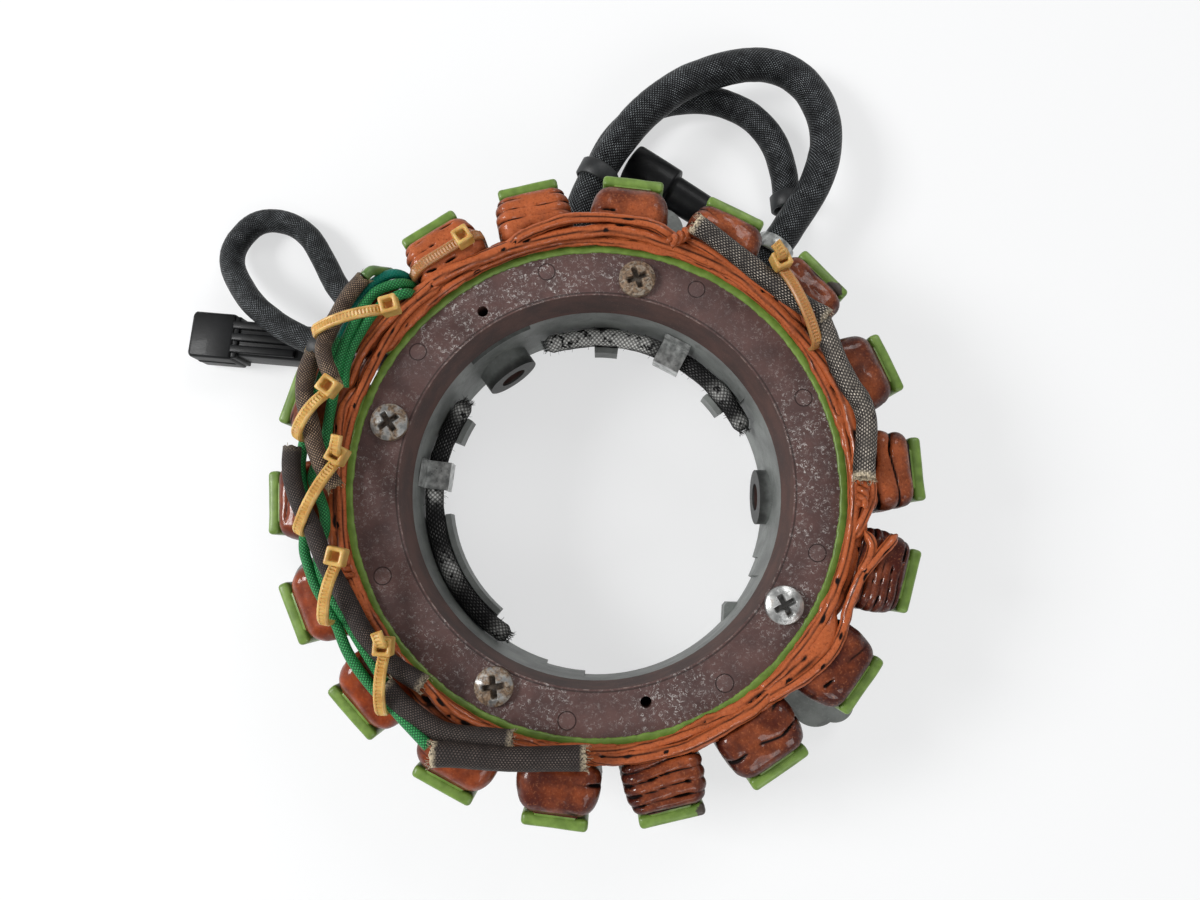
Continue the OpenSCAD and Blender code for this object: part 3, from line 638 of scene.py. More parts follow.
blackShell = plasticFinish("blackMoulding", (7, 8, 9), (17, 18, 20), 0.34, coat=0.06, shine=0.2)
glossBand = plasticFinish("blackBand", (22, 23, 25), (40, 42, 44), 0.42)
rubber = plasticFinish("blackRubber", (8, 8, 9), (19, 19, 20), 0.44, shine=0.2)
tealSkin = plasticFinish("tealInsulation", (0, 96, 82), (10, 136, 116), 0.28, coat=0.3)
oliveSkin = plasticFinish("oliveInsulation", (62, 92, 44), (92, 126, 60), 0.34, coat=0.2)
brightSteel = steelFinish("brightStrip", (128, 130, 129), (206, 208, 206), 0.75)
screwSteel = steelFinish("agedZinc", (140, 141, 140), (204, 205, 203), 0.7, rusty=True)
amber = amberFinish()
print("finishes are mixed")


# Harness cords: routes in millimetres, from the grommet to the far end

leftMouth, topMouth = np.array(polar(66.2, 141.75, 0)), np.array(polar(66.2, 94.33, 0))
harness = {
    "left": {"radius": 3.7, "route": leftMouth + np.array([
        (0, 0, 12), (-6, 5, 12), (-13.5, 10.5, 11), (-21.5, 16.5, 9), (-28, 24, 7.5), (-33.5, 33.5, 6),
        (-38.5, 41, 5), (-44.5, 45.5, 4.3), (-52, 47, 4), (-57.5, 44.5, 4.3), (-61.5, 37.5, 5.5), (-60.5, 30, 8),
        (-55, 21.5, 12), (-48.5, 14.5, 16), (-40, 8, 18.5), (-33, 4, 20.5), (-27, 1, 21)])},
    "top": {"radius": 5.0, "route": topMouth + np.array([
        (0, 0, 18), (-1, 9, 18), (0, 17.5, 18.5), (5, 29, 19.5), (11, 38.5, 20), (20, 50, 19.5), (34, 62, 16),
        (51, 69.5, 12), (63, 70, 9.5), (71, 64, 9.5), (75, 53.5, 11.5), (75, 41, 14), (71, 28.5, 15.5),
        (65, 18.5, 15.5), (57.5, 7.5, 15.5), (51.5, -0.5, 15), (47, -6, 14), (43, -12, 14)])},
    "low": {"radius": 4.3, "route": topMouth + np.array([
        (0, 0, 6.5), (-1, 9.5, 6), (0, 23.5, 5), (4, 35.5, 4.6), (8, 45, 4.6), (14, 53, 4.6), (21, 59, 4.6),
        (30.5, 62, 4.6), (42.5, 62, 4.6), (53.5, 57, 4.6), (61, 48, 4.6), (64, 37.5, 4.6), (65, 27.5, 4.6)])},
    "leftTail": leftMouth + np.array([(-27, 1, 21), (-23, -1, 21), (-18, -3, 17), (-16, -1, 12), (-18, 2, 8),
                                      (-24, 4, 7), (-34, 5, 7)]),
    "lowTail": topMouth + np.array([(65, 27.5, 4.6), (66, 20, 4.6), (64, 14, 5), (59, 11.5, 5.5), (52, 14, 6.5),
                                    (43, 20, 7)]),
    "sides": 32, "step": 1.6, "bandLong": 5.0, "bandThick": 0.8, "bandGap": 0.2, "wireOff": 0.95, "wireR": 0.88,
    "plugTurn": 175, "roundTurn": 146, "plugPlay": 0.3, "roundZ": 7}
# cord, point of its route, skin, slot and bulge of each band
bands = {"leftBand": ("left", 16, glossBand, "band", 0.0), "topBand": ("top", 3, glossBand, "band", 0.0),
         "topFerrule": ("top", 14, brightSteel, "clip", 0.05), "lowBand": ("low", 12, glossBand, "band", 0.0)}


def cordShape(path, radius, seed):
    out = around(path, harness["sides"])
    ring = path[:, None] + radius * out
    lump = rough(ring, 7, seed) * 0.035 + rough(ring, 2.4, seed + 1) * 0.018
    # bright here is a faint painted sheen on the top of the cord
    return tubeShape(path, radius * (0.985 + lump - 0.03 * np.abs(lump)), harness["sides"],
                     bright=ramp(out[..., 2], 0.5, 1.0) * 0.05)


def bandShape(path, radius, at, bulge):  # a band with rounded edges
    spot = np.argmin(np.linalg.norm(path - at, axis=1))
    gap, long = harness["bandGap"] / 2, harness["bandLong"]
    thick = harness["bandThick"] + gap
    r0, r1, h, e = radius + gap, radius + gap + thick, long / 2, min(thick, long) * 0.35
    ring = lathe([(r0, -h + e), (r0 + e, -h), (r1 - e, -h), (r1, -h + e), (r1 + bulge, 0), (r1, h - e), (r1 - e, h),
                  (r0 + e, h), (r0, h - e), (r0, -h + e)], 64)
    return aimed(ring, path[spot], guides(path)[0][spot])


def tailShape(points):  # three thin wires laid together
    path = smoothPath(points, 1.0)
    _, side, top = guides(path)
    wires = []
    for turn in range(3):
        swing = (2 * math.pi * turn / 3 + np.arange(len(path)) * 0.12)[:, None]
        wires.append(tubeShape(path + harness["wireOff"] * (np.cos(swing) * side + np.sin(swing) * top),
                               harness["wireR"], 12))
    return joined(wires)


def leftPlugShape():
    ribs = [blockTo((4, y - 1.2, 1.2), (23.6, y + 1.2, 12.2), 0.45) for y in (-11 / 3, 0, 11 / 3)]
    shell = bmeshShape(rounded(sunk(cube((13, 14, 12)), 0, 1.8, 3), 0.85, 4))
    plug = joined([blockTo((0, -5.5, 1), (23.6, 5.5, 11), 0.9), *ribs,
                   blockTo((21.6, -6.4, 0.6), (23.4, 6.4, 11.6), 0.4), moved(shell, (29.5, 0, 6)),
                   blockTo((24, -7.25, 5.0), (35.4, 7.25, 6.4), 0.3)])
    rear = harness["leftTail"][-1]
    return moved(moved(plug, (harness["plugPlay"], 0, 0)), (rear[0], rear[1], 0), harness["plugTurn"])


def roundPlugShape():
    profile = [(0, 0), (2.6, 0), (4.3, 0.3), (4.75, 0.9), (5.0, 3), (5.15, 9), (5.25, 16), (5.3, 17.6), (6.55, 17.7),
               (6.85, 17.9), (6.95, 18.3), (7.0, 24), (7.0, 32.2), (6.8, 32.8), (6.2, 33), (5.4, 32.8), (5.3, 29.5),
               (0, 29.5)]
    rear = harness["lowTail"][-1]
    shape = lathe([(r, z + harness["plugPlay"]) for r, z in profile], 72)
    return aimed(shape, (rear[0], rear[1], harness["roundZ"]), polar(1, harness["roundTurn"], 0))


def layHarness():
    paths, cords, made = {}, {}, {}
    for i, key in enumerate(("left", "top", "low")):
        paths[key] = smoothPath(harness[key]["route"], harness["step"])
        cords[key] = addPiece(key + "Cord", cordShape(paths[key], harness[key]["radius"], 3 + 2 * i), cordBraid,
                              "braid", key + "_harness_cord")
    for name, (key, at, skin, slot, bulge) in bands.items():
        shape = bandShape(paths[key], harness[key]["radius"], harness[key]["route"][at], bulge)
        made[name] = addPiece(name, shape, skin, slot, nodeName(name).replace("_", "_harness_"))
    for name, skin, slot in (("leftTail", rubber, "braid"), ("lowTail", tealSkin, "lead_green")):
        made[name] = addPiece(name, tailShape(harness[name]), skin, slot, nodeName(name).replace("_", "_harness_"))
    made["leftPlug"] = addPiece("leftPlug", leftPlugShape(), blackShell, "connector", "left_connector")
    made["roundPlug"] = addPiece("roundPlug", roundPlugShape(), blackShell, "connector", "top_connector")


layHarness()
print("harness is laid")


# Windings

winding = {"inner": 65.2, "outer": 78.85, "halfWide": 5.15, "halfHigh": 8.15, "thick": 4.4, "barrel": 1.1,
           "rows": 64, "cols": 132}
# turns seen, depth of the creases, open slots, warmth and gloss of the lacquer, pole by pole
coilLooks = {1: (3, 0.25, 1, 0.28, 0.6), 2: (3, 0.4, 2, 0.4, 0.5), 3: (3, 0.45, 3, 0.5, 0.4),
             4: (2, 0.15, 2, 0.4, 0.5), 5: (5, 0.6, 7, 0.7, 0.45), 6: (5, 0.6, 6, 0.8, 0.4),
             7: (4, 0.4, 3, 0.55, 0.5), 8: (3, 0.35, 2, 0.35, 0.7), 9: (3, 0.3, 2, 0.4, 0.8),
             10: (3, 0.12, 1, 0.42, 0.9), 11: (3, 0.12, 1, 0.38, 1.0),
             12: (3, 0.25, 3, 0.35, 0.8), 13: (2, 0.28, 3, 0.2, 0.7), 14: (5, 1.0, 7, 0.3, 0.5),
             15: (2, 0.7, 3, 0.2, 0.6), 16: (2, 0.4, 3, 0.14, 0.6), 17: (7, 0.8, 4, 0.14, 0.6),
             18: (3, 1.0, 5, 0.5, 0.4)}


def coilRing():  # points round the pole, the directions out of them and the way round
    a, b, h = winding["halfWide"], winding["halfHigh"], winding["thick"] * 0.8
    corners = [(a, b), (a, -b), (-a, -b), (-a, b)]
    arc = math.pi / 2 * h
    legs = [2 * a, arc, 2 * b, arc] * 2
    base, out = [], []
    for i in range(winding["cols"]):
        d, leg = sum(legs) * i / winding["cols"], 0
        while d > legs[leg]:
            d, leg = d - legs[leg], leg + 1
        side, bend = divmod(leg, 2)
        turn = math.pi / 2 * (1 - side) - bend * d / h
        x, y = corners[side - 1 + bend]
        run = (1 - bend) * d
        base.append((x + run * math.sin(turn), y - run * math.cos(turn)))
        out.append((math.cos(turn), math.sin(turn)))
    return np.array(base), np.array(out), sum(legs)


def coilShape(k):
    turns, crease, slots, warm, gloss = coilLooks[k]
    draw = random.Random(100 + k)
    rows, cols = winding["rows"], winding["cols"]
    long = winding["outer"] - winding["inner"]
    base, out, total = coilRing()
    w = np.linspace(-1, 1, rows)[:, None]
    w = np.sign(w) * (1 - (1 - np.abs(w)) ** 1.5)
    u = (w + 1) / 2 + np.zeros((1, cols))
    v = np.arange(cols)[None] / cols + np.zeros((rows, 1))
    aside = np.abs(out[None, :, 0])
    swing = 2 * math.pi * v
    lattice = np.stack([u * long, 12 * np.cos(swing), 12 * np.sin(swing)], -1)
    wave, small = rough(lattice, 6, 200 + k), rough(lattice, 1.9, 300 + k)
    lean = (0.5 - np.abs((v + 0.87) % 1 - 0.5) * 2) * draw.choice((-1, 1)) * 0.55
    count = u * turns + lean + wave * 0.28
    part = count - np.floor(count)
    gap = 1 - np.sqrt(np.clip(1 - (2 * part - 1) ** 2, 0, 1))
    parted = ramp(rough(lattice, 4.5, 400 + k) + crease * 1.5 - 0.75, -0.25, 0.55)
    dip = gap * parted * (0.35 + 0.75 * crease)
    cut = np.zeros_like(u)
    for _ in range(slots * 3):
        where, line = draw.random(), draw.randrange(1, max(2, turns))
        wide, longer = draw.uniform(0.16, 0.36), draw.uniform(0.5, 1.9)
        away = np.abs((v - where + 0.5) % 1 - 0.5) * total
        near = (count - line) * long / turns
        cut = np.maximum(cut, np.exp(-(near / wide) ** 2 - (away / longer) ** 4))
    soft = crease < 0.3
    bulge = 1 - np.abs(w) ** (5 if soft else 7)
    height = winding["thick"] * bulge ** (0.5 if soft else 0.4) - winding["barrel"] * (1.6 if soft else 1) * w ** 2
    height = height + aside * bulge * (1.25 - 0.9 * u) - dip - cut * 1.3 + wave * 0.3 + small * 0.12 - 0.3
    height = np.maximum(height, 0.05) * (np.abs(w) < 1)
    local = np.stack([winding["inner"] + u * long, base[None, :, 0] + out[None, :, 0] * height,
                      midZ + base[None, :, 1] + out[None, :, 1] * height], -1)
    # painted shade along the ends and sides of the winding; with the creases and open slots it makes cavity
    edges = 0.3 * ramp(np.abs(w), 0.6, 1.0) + 0.22 * ramp(aside, 0.5, 1.0)
    cavity = np.clip(cut * 1.1 + ramp(gap, 0.3, 0.95) * parted * (0.45 + 0.55 * crease) + edges, 0, 1)
    # warmer towards the inner end, with painted shade on the sides and the ends of the winding
    warmthAndSideShade = warm + 0.25 * (1 - u) + 0.15 * wave - 0.15 * np.abs(w) - 0.3 * aside ** 2
    return shapeOf(turned(local.reshape(-1, 3), poleAngles[k]), gridFaces(rows, cols),
                   cavity=cavity, warm=warmthAndSideShade, gloss=gloss)


for k in poleAngles:
    addPiece(f"winding{k:02d}", coilShape(k), varnish, "winding", f"coil_{k:02d}")
print("windings are wound")


# Varnished link wires: radius, angle and height of each strand, then its half width and flatness

strands = [
    ([(64.6 + 0.5 * math.sin(a / 9), a, 47.3) for a in range(176, 513, 6)], 2.5, 0.34),
    ([(63.4, a, 47.0) for a in range(180, 509, 8)], 1.25, 0.95),
    ([(65.6, 144, 46.2), (65.4, 150, 45.4), (65.2, 157, 45.2), (65.3, 164, 45.3), (65.1, 171, 45.6), (64.8, 180, 46.4)],
     2.0, 0.6),
    ([(65.1, 113, 47.5), (65.3, 109, 49.4), (65.9, 106.7, 50.6), (67.1, 100.4, 51.0), (68.0, 95.2, 51.0),
      (67.9, 88.6, 51.0), (67.7, 82.7, 51.0), (67.4, 77.6, 51.2), (66.2, 73.6, 50.6), (65.2, 70.5, 49.4)], 1.35, 0.85),
    ([(67.4, 135.5, 47.2), (66.6, 129, 48.4), (65.8, 123, 48.8), (65.0, 117, 48.8), (64.5, 110, 49.0),
      (64.2, 103, 49.2), (64.4, 97.7, 49.2), (64.8, 92.6, 49.4), (65.4, 86.5, 49.6), (65.2, 80.3, 49.4),
      (64.4, 74.6, 49.0), (64.2, 69, 48.8), (64.4, 62, 48.6), (64.6, 55, 48.6), (64.2, 48, 48.5), (63.9, 42, 48.4),
      (64.0, 36, 48.2), (64.6, 30, 48.4), (65.4, 24, 48.6), (65.6, 17, 48.8), (65.2, 10, 49.0), (64.4, 3, 49.2)],
     1.7, 0.75),
    ([(66.6, 70, 49.4), (66.4, 66, 49.6), (65.8, 60, 49.4), (65.4, 54, 49.0), (65.8, 46, 48.6), (66.4, 38, 47.8)],
     1.2, 0.9),
    ([(66.6, 26, 48.0), (67.4, 21, 49.2), (67.2, 16, 49.6), (66.8, 9, 49.6), (66.8, 3, 49.6), (67.2, -0.5, 50.2),
      (66.7, -3.9, 50.3), (65.3, -8.2, 49.6), (63.9, -12.4, 48.6)], 1.25, 0.9),
    ([(63.6, 4, 49.4), (63.4, -3.2, 49.4), (63.3, -8.1, 49.2), (63.2, -13, 49.0), (63.2, -17.6, 49.0),
      (63.2, -22.5, 49.0), (63.4, -27.4, 49.0), (63.6, -32.2, 48.8), (63.5, -36.5, 48.8), (63.3, -41, 48.6),
      (63.1, -46, 48.4), (63.0, -52, 48.2)], 1.35, 0.8),
    ([(74.0, -9.6, 49.6), (71.8, -12.0, 50.8), (69.5, -15.0, 51.0), (67.6, -18.5, 50.6), (67.2, -21.6, 50.0),
      (67.4, -25.4, 49.2), (68.2, -28.8, 49.0), (68.8, -32.5, 49.4), (69.0, -36.1, 49.8), (68.2, -40.7, 49.8),
      (66.8, -45.7, 49.2), (65.6, -50, 48.6), (64.4, -56, 48.2), (63.6, -63, 48.0), (63.2, -70, 48.0),
      (63.2, -78, 48.2), (63.4, -86, 48.2), (63.4, -92, 48.4)], 1.3, 0.9),
    ([(66.0, -9.8, 49.6), (68.1, -12.7, 50.6), (67.8, -16.1, 50.8), (66.7, -19.6, 50.2)], 1.2, 0.9),
    ([(64.6, -27, 47.6), (65.4, -31, 48.6), (66.2, -35, 49.0), (66.0, -39, 49.0), (65.2, -44, 48.8), (64.6, -49, 48.4),
      (64.2, -56, 48.0), (63.8, -66, 47.6), (63.8, -76, 47.2)], 2.9, 0.36),
    ([(64.6, -50, 48.8), (65.0, -55, 49.4), (64.8, -62, 49.6), (65.2, -70, 49.4), (65.0, -78, 49.2), (64.8, -86, 49.0),
      (64.2, -92, 48.6)], 1.5, 0.8),
    ([(64.7, 128, 48.2), (64.9, 134.4, 48.6), (64.7, 140, 48.6), (64.0, 145.7, 48.4), (63.6, 151.8, 48.3),
      (63.4, 156.7, 48.3), (63.4, 161.6, 48.4), (63.2, 166.3, 48.4), (63.0, 171.4, 48.4), (62.8, 178, 48.3),
      (63.0, 188, 48.2), (63.4, 194, 48.4), (63.8, 199, 48.8)], 1.3, 0.85),
    ([(67.2, 126, 48.0), (65.8, 131, 49.0), (66.2, 138, 49.4), (67.0, 144.4, 49.4), (67.4, 150, 49.0),
      (67.2, 154.4, 48.4), (66.6, 158.8, 47.6)], 1.25, 0.9),
    ([(65.0, 158, 48.0), (65.6, 163, 49.4), (65.0, 168, 49.2), (64.2, 172, 48.6)], 1.3, 0.8),
    ([(63.9, 216.5, 47.6), (63.0, 220, 48.4), (62.8, 225, 48.8), (62.6, 229.2, 49.2), (63.0, 232.7, 49.4),
      (64.0, 236.6, 49.0), (64.3, 240.6, 48.6), (63.8, 246, 48.3), (63.4, 251, 48.0), (63.4, 258, 48.0)], 1.35, 0.75),
]
linkLook = {"sides": 18, "step": 0.55, "pitEvery": 26, "broad": 2, "furrow": 0.14, "twistRows": 34}


def strandShape(index, points, wide, flatness):
    step, sides, broad = linkLook["step"], linkLook["sides"], wide > linkLook["broad"]
    path = smoothPath([polar(*p) for p in points], step)
    long, angle, along = lengthOf(path), spokes(sides), np.arange(len(path)) * step
    taper = np.minimum(1, 0.2 + np.minimum(along, along[::-1]) / (9 if broad else 2.4))
    ring = path[:, None] + wide * around(path, sides, flatness, sky)
    lump = rough(ring, 3.2, 500 + index) * 0.16 + rough(ring, 1.1, 540 + index) * 0.07
    swing = (5 if broad else 2) * angle + 0.6 * np.sin(along / 6 + index)[:, None] + index
    furrow = np.cos(swing) ** 8 * linkLook["furrow"]
    pits = np.zeros((len(path), sides))
    draw = random.Random(700 + index)
    for _ in range(int(long / linkLook["pitEvery"] * (5.5 if broad else 1.8))):
        spot, turn = draw.uniform(2, long - 2), draw.uniform(0.9, 2.3)
        across, ahead = draw.uniform(0.14, 0.3) / (wide / 1.3), draw.uniform(0.4, 1.1)
        away = ((along[:, None] - spot) / ahead) ** 2 + ((angle[None] - turn) / across) ** 2
        pits = np.maximum(pits, np.exp(-away))
    # cavity: painted shade in the dents and in the furrows between the wires
    return tubeShape(path, wide * taper[:, None] * (1 + lump - furrow) * (1 - 0.4 * pits), sides, flatness, sky,
                     cavity=np.clip(pits * 1.3 + furrow * 3.8, 0, 1),
                     warm=0.95 + 0.2 * rough(ring, 6, 600 + index), gloss=0.45)


def pigtail(r, angle, z, lean, size=1.0):  # two wire ends twisted together
    rows = linkLook["twistRows"]
    heading = unit(np.array(polar(1, angle + lean, 0.55)))
    side = unit(np.cross(heading, sky))
    top = np.cross(side, heading)
    line = np.array(polar(r, angle, z)) + np.outer(np.linspace(-2.5, 4.6, rows) * size, heading)
    spread = 0.95 * size * np.linspace(1.0, 0.75, rows)[:, None]
    shapes = []
    for half in (0, math.pi):
        turn = np.linspace(0, 3.2 * math.pi, rows)[:, None] + half
        path = line + spread * (np.cos(turn) * side + np.sin(turn) * top)
        bead = 0.82 * size * (1 + 0.12 * rough(path, 1.2, 800 + int(angle)))
        shapes.append(tubeShape(path, bead, 12, cavity=0, warm=0.75, gloss=0.2))
    return joined(shapes)


links = [strandShape(i, *strand) for i, strand in enumerate(strands)]
links += [pigtail(66.3, 71, 51.2, 150), pigtail(64.6, -1.6, 51.0, 255), pigtail(63.9, 199, 50.0, -80, 0.85)]
addPiece("linkWires", joined(links), varnish, "winding", "link_wire_inner", "link_wire_upper", "link_wire_lower")
print("link wires are laid")


# Powder coat: pole tips, pole sides and the rim of the yoke

coatLook = {"innerR": 60.8, "rimR": 63.0, "neckIn": 62.4, "neckOut": 79.6, "tipIn": 79.0, "tipOut": 82.0,
            "tipWide": 16.0, "poleWide": 10.0, "ragged": 0.22, "segments": 900,
            "chips": [((*polar(81.6, 288.5, 0)[:2], 45), 2.4), ((*polar(79.4, 39.6, 0)[:2], 45.3), 2.6)]}


def tipShape(k):
    tipIn, tipOut = coatLook["tipIn"], coatLook["tipOut"]
    bm = rounded(cube((tipOut - tipIn, coatLook["tipWide"], coatTop - coatBottom)), 1.05, 4)
    bmesh.ops.subdivide_edges(bm, edges=[e for e in bm.edges if e.calc_length() > 4], cuts=7, use_grid_fill=True)
    shape = moved(bmeshShape(bm), ((tipIn + tipOut) / 2, 0, (coatTop + coatBottom) / 2))
    shape["verts"][:, 0] += rough(shape["verts"], 5, 900 + k) * 0.14
    shape["verts"][:, 1] *= 1 + 0.012 * rough(shape["verts"] * 0.2, 3, 920 + k)
    return shape


def rimShape():
    r0, r1, top, low = coatLook["innerR"], coatLook["rimR"], coatTop, coatBottom
    profile = [(r0, top - 0.48), (r0 + 0.08, top - 0.12), (r0 + 0.35, top), (r0 + 1.0, top + 0.02), (r1 - 0.6, top),
               (r1 - 0.15, top - 0.12), (r1, top - 0.5), (r1, midZ), (r1, low + 0.5), (r1 - 0.4, low), (r0, low)]
    shape = lathe(profile, coatLook["segments"])
    x, y, z = shape["verts"].T
    angle, reach, upper = np.arctan2(y, x), np.hypot(x, y), z > midZ
    loose = np.stack([r0 * np.cos(angle), r0 * np.sin(angle), 0 * angle], -1)
    tooth = rough(loose, 0.7, 940) * 0.6 + rough(loose, 2.3, 941) * 0.7
    scale = (reach + ramp(reach, r0 + 1.2, r0) * upper * tooth * coatLook["ragged"]) / reach
    lift = rough(shape["verts"], 4, 942) * 0.05 * upper
    return {**shape, "verts": np.column_stack([x * scale, y * scale, z + lift])}


def coatShape():
    shapes, half = [rimShape()], coatLook["poleWide"] / 2
    for k, angle in poleAngles.items():
        neck = blockTo((coatLook["neckIn"], -half, coatBottom), (coatLook["neckOut"], half, coatTop), 0.5)
        shapes += [moved(tipShape(k), (0, 0, 0), angle), moved(neck, (0, 0, 0), angle)]
    return joined(shapes)


addPiece("poleCoat", coatShape(), coatFinish(coatLook["chips"]), "coat", "pole_coating")
print("powder coat is on")


# Screws with a cross recess: rust and turn of each, by its angle

screwLook = {"circle": 54.5, "radius": 4.7, "height": 2.6, "rings": 30, "spokes": 96, "armLong": 2.75, "armWide": 0.62,
             "deep": 1.7, "at": {78.8: (0.95, 20), 163.0: (0.5, 35), 243.2: (0.6, 8), 327.4: (0.12, 28)}}


def screwArm(along, across):
    wide, long = screwLook["armWide"], screwLook["armLong"]
    return ramp(across, wide + 0.22, wide - 0.12) * ramp(along, long + 0.3, long - 0.7)


def screwShape(angle, rust, turn):
    rings, count = screwLook["rings"], screwLook["spokes"]
    share = np.linspace(0, 1, rings)[:, None] ** 0.9
    x, y = (screwLook["radius"] * share * f(spokes(count)) for f in (np.cos, np.sin))
    c, s = math.cos(math.radians(turn)), math.sin(math.radians(turn))
    p, q = np.abs(x * c + y * s), np.abs(y * c - x * s)
    arm = np.maximum(screwArm(p, q), screwArm(q, p))
    z = screwLook["height"] * (1 - 0.42 * share ** 2.4) - arm * screwLook["deep"]
    z = z + 0.06 * rough(np.stack([x, y, 0 * x], -1), 1.1, int(angle))
    skirt = [np.stack([x[-1], y[-1], z[-1] * f], -1)[None] for f in (0.7, 0.0)]
    shape = shapeOf(np.concatenate([np.stack([x, y, z], -1), *skirt]), gridFaces(rings + 2, count),
                    rust=rust + 0.2 * np.vstack([arm, np.ones((2, count))]),
                    pit=np.vstack([arm, np.zeros((2, count))]))
    return moved(shape, polar(screwLook["circle"], angle, faceZ))


addPiece("mountingScrews", joined([screwShape(angle, *look) for angle, look in screwLook["at"].items()]),
         screwSteel, "screw", "mounting_screws")


# Braided sleeves over the splices

sleeveLook = {"sides": 40, "step": 0.8, "fibres": 34, "tall": 0.9, "gap": 0.3}
# radius, both flares, both pale ends, painted sheen on the top and weave, then radius, angle and rise of each point
sleeves = {
    "sleeveRightLong": ((2.5, 0.1, 0.3, 1.0, 0.5, 0.04, "dotted"), [
        (70, 69, 0), (68, 62, 0), (66.5, 52, 0), (67.5, 42, 0), (69.5, 35.6, 0)]),
    "sleeveRightShort": ((2.55, -0.1, 0.05, 0.1, 0.9, 0.16, "dotted"), [
        (68.8, 35.8, 0), (67, 30.5, 0), (66.3, 24.8, 0), (66.5, 20.7, 0), (67.4, 17.4, 0), (67.4, 13.3, 0.1),
        (65.9, 8.3, 0.3), (64.5, 3.7, 0.9), (64, 0.7, 1.4)]),
    "sleeveBottomOuter": ((2.8, 0.05, 0.1, 0.9, 0.9, 0.0, "plain"), [
        (72.2, 239.2, 2.4), (70, 242.5, 2.6), (68, 247, 2.6), (66.2, 252.2, 2.3), (65, 256.4, 2), (63.9, 261.5, 1.4),
        (63.2, 268, 0.9)]),
    "sleeveBottomInner": ((2.45, 0.0, 0.0, 0.4, 0.5, 0.0, "plain"), [
        (68.2, 224, 0.5), (68.3, 230, 0.5), (68, 236.6, 0.4), (67.2, 239.9, 0.4), (65.4, 244, 0.6), (63.8, 247.7, 0.9),
        (62.4, 252.2, 0.9)]),
    "sleeveLeftUpper": ((2.0, 0.0, 0.0, 0.2, 0.9, 0.04, "gold"), [
        (76.8, 138.6, 2), (76.5, 143, 2.2), (75.6, 147, 2.4), (74.9, 150.9, 2.8), (73.8, 153.7, 3.6),
        (71.2, 156.1, 4.4), (68.6, 158, 4.8), (66.8, 159.8, 4.4)]),
    "sleeveLeftMiddle": ((2.15, 0.0, 0.0, 0.1, 0.3, 0.06, "gold"), [
        (76.5, 155.5, 0.4), (75.6, 159.1, 1.4), (74, 162.5, 2.4), (71.8, 165.7, 3.1), (69.2, 169, 3.9),
        (67.5, 172.5, 3.9), (65.2, 176.5, 3.9), (63.2, 179.4, 3.2), (62.2, 181, 2.2)]),
    "sleeveLeftLower": ((2.2, 0.0, 0.0, 0.1, 0.4, 0.0, "plain"), [
        (72.8, 173.5, 3.4), (72.3, 177.6, 3.5), (71.2, 181.4, 3.6), (69.3, 185.4, 3.9), (67.4, 189.2, 3.9),
        (66.4, 193.4, 3.9), (65.7, 197.1, 3.6), (64.7, 202.1, 2.9), (64.4, 208.1, 1.8), (64.6, 213.1, 1),
        (64.3, 218, 0.3), (63.8, 221.6, 0), (62.9, 225.4, 0), (61.9, 229.6, 0.1)])}


def sleeveShape(index, points, radius, flareA, flareB, paleA, paleB, shine):
    sides, level = sleeveLook["sides"], coilTop + sleeveLook["gap"] + radius
    path = smoothPath([polar(r, a, level + dz) for r, a, dz in points], sleeveLook["step"])
    heading, angle = guides(path, sky)[0], spokes(sides)
    far = np.arange(len(path)) * sleeveLook["step"]
    back = far[-1] - far
    ring = path[:, None] + radius * around(path, sides, 1.0, sky)
    out = around(path, sides, sleeveLook["tall"], sky)
    lump = rough(ring, 5, 1000 + index) * 0.06 + rough(ring, 1.6, 1020 + index) * 0.02
    flare = (ramp(far, 5, 0) * flareA + ramp(back, 5, 0) * flareB)[:, None] * 0.6
    verts = path[:, None] + (radius * (1 + lump + flare))[..., None] * out
    jag = rough(np.stack([4 * np.cos(angle), 4 * np.sin(angle), 0 * angle], -1), 1.1, 1040 + index)[:, None] * 0.45
    verts[0] -= heading[0] * jag
    verts[-1] += heading[-1] * jag

    def mouth(end, ahead, share, deep):  # a ring inside the open end
        return (path[end] + (verts[end] - path[end]) * share + ahead * deep)[None]

    rows = np.concatenate([mouth(0, heading[0], 0.72, 2.2), mouth(0, heading[0], 0.8, 0.05), verts,
                           mouth(-1, -heading[-1], 0.8, 0.05), mouth(-1, -heading[-1], 0.72, 2.2)])
    pale = np.r_[0, paleA, ramp(far, 1.6, 0) * paleA + ramp(back, 1.6, 0) * paleB, paleB, 0]
    # bright: painted sheen on the top of the sleeve
    bright = np.pad(ramp(out[..., 2], 0.3, 1.0) * shine, ((2, 2), (0, 0)), "edge")
    tube = shapeOf(rows, gridFaces(len(rows), sides) + capFaces(len(rows), sides),
                   weaveUv(np.r_[-2, 0, far, far[-1], far[-1] + 2], sides) + [(0, 0)] * (2 * sides),
                   bright=bright, frayed=np.repeat(pale, sides))
    shapes = [tube]
    for ends, ahead, share in ((verts[0], -heading[0], paleA), (verts[-1], heading[-1], paleB)):
        picks = [dice.randrange(sides) for _ in range(int(sleeveLook["fibres"] * share))]
        if picks:
            shapes.append(hairs(ends[picks], [ahead] * len(picks), 1.3, 0.07, 0.8, bright=0, frayed=1))
    return joined(shapes)


for i, (name, ((*looks, weave), points)) in enumerate(sleeves.items()):
    addPiece(name, sleeveShape(i, points, *looks), sleeveSkins[weave], "sleeve", nodeName(name))
print("sleeves are on")


# Leads under the sleeves: slot, skin and the runs of each

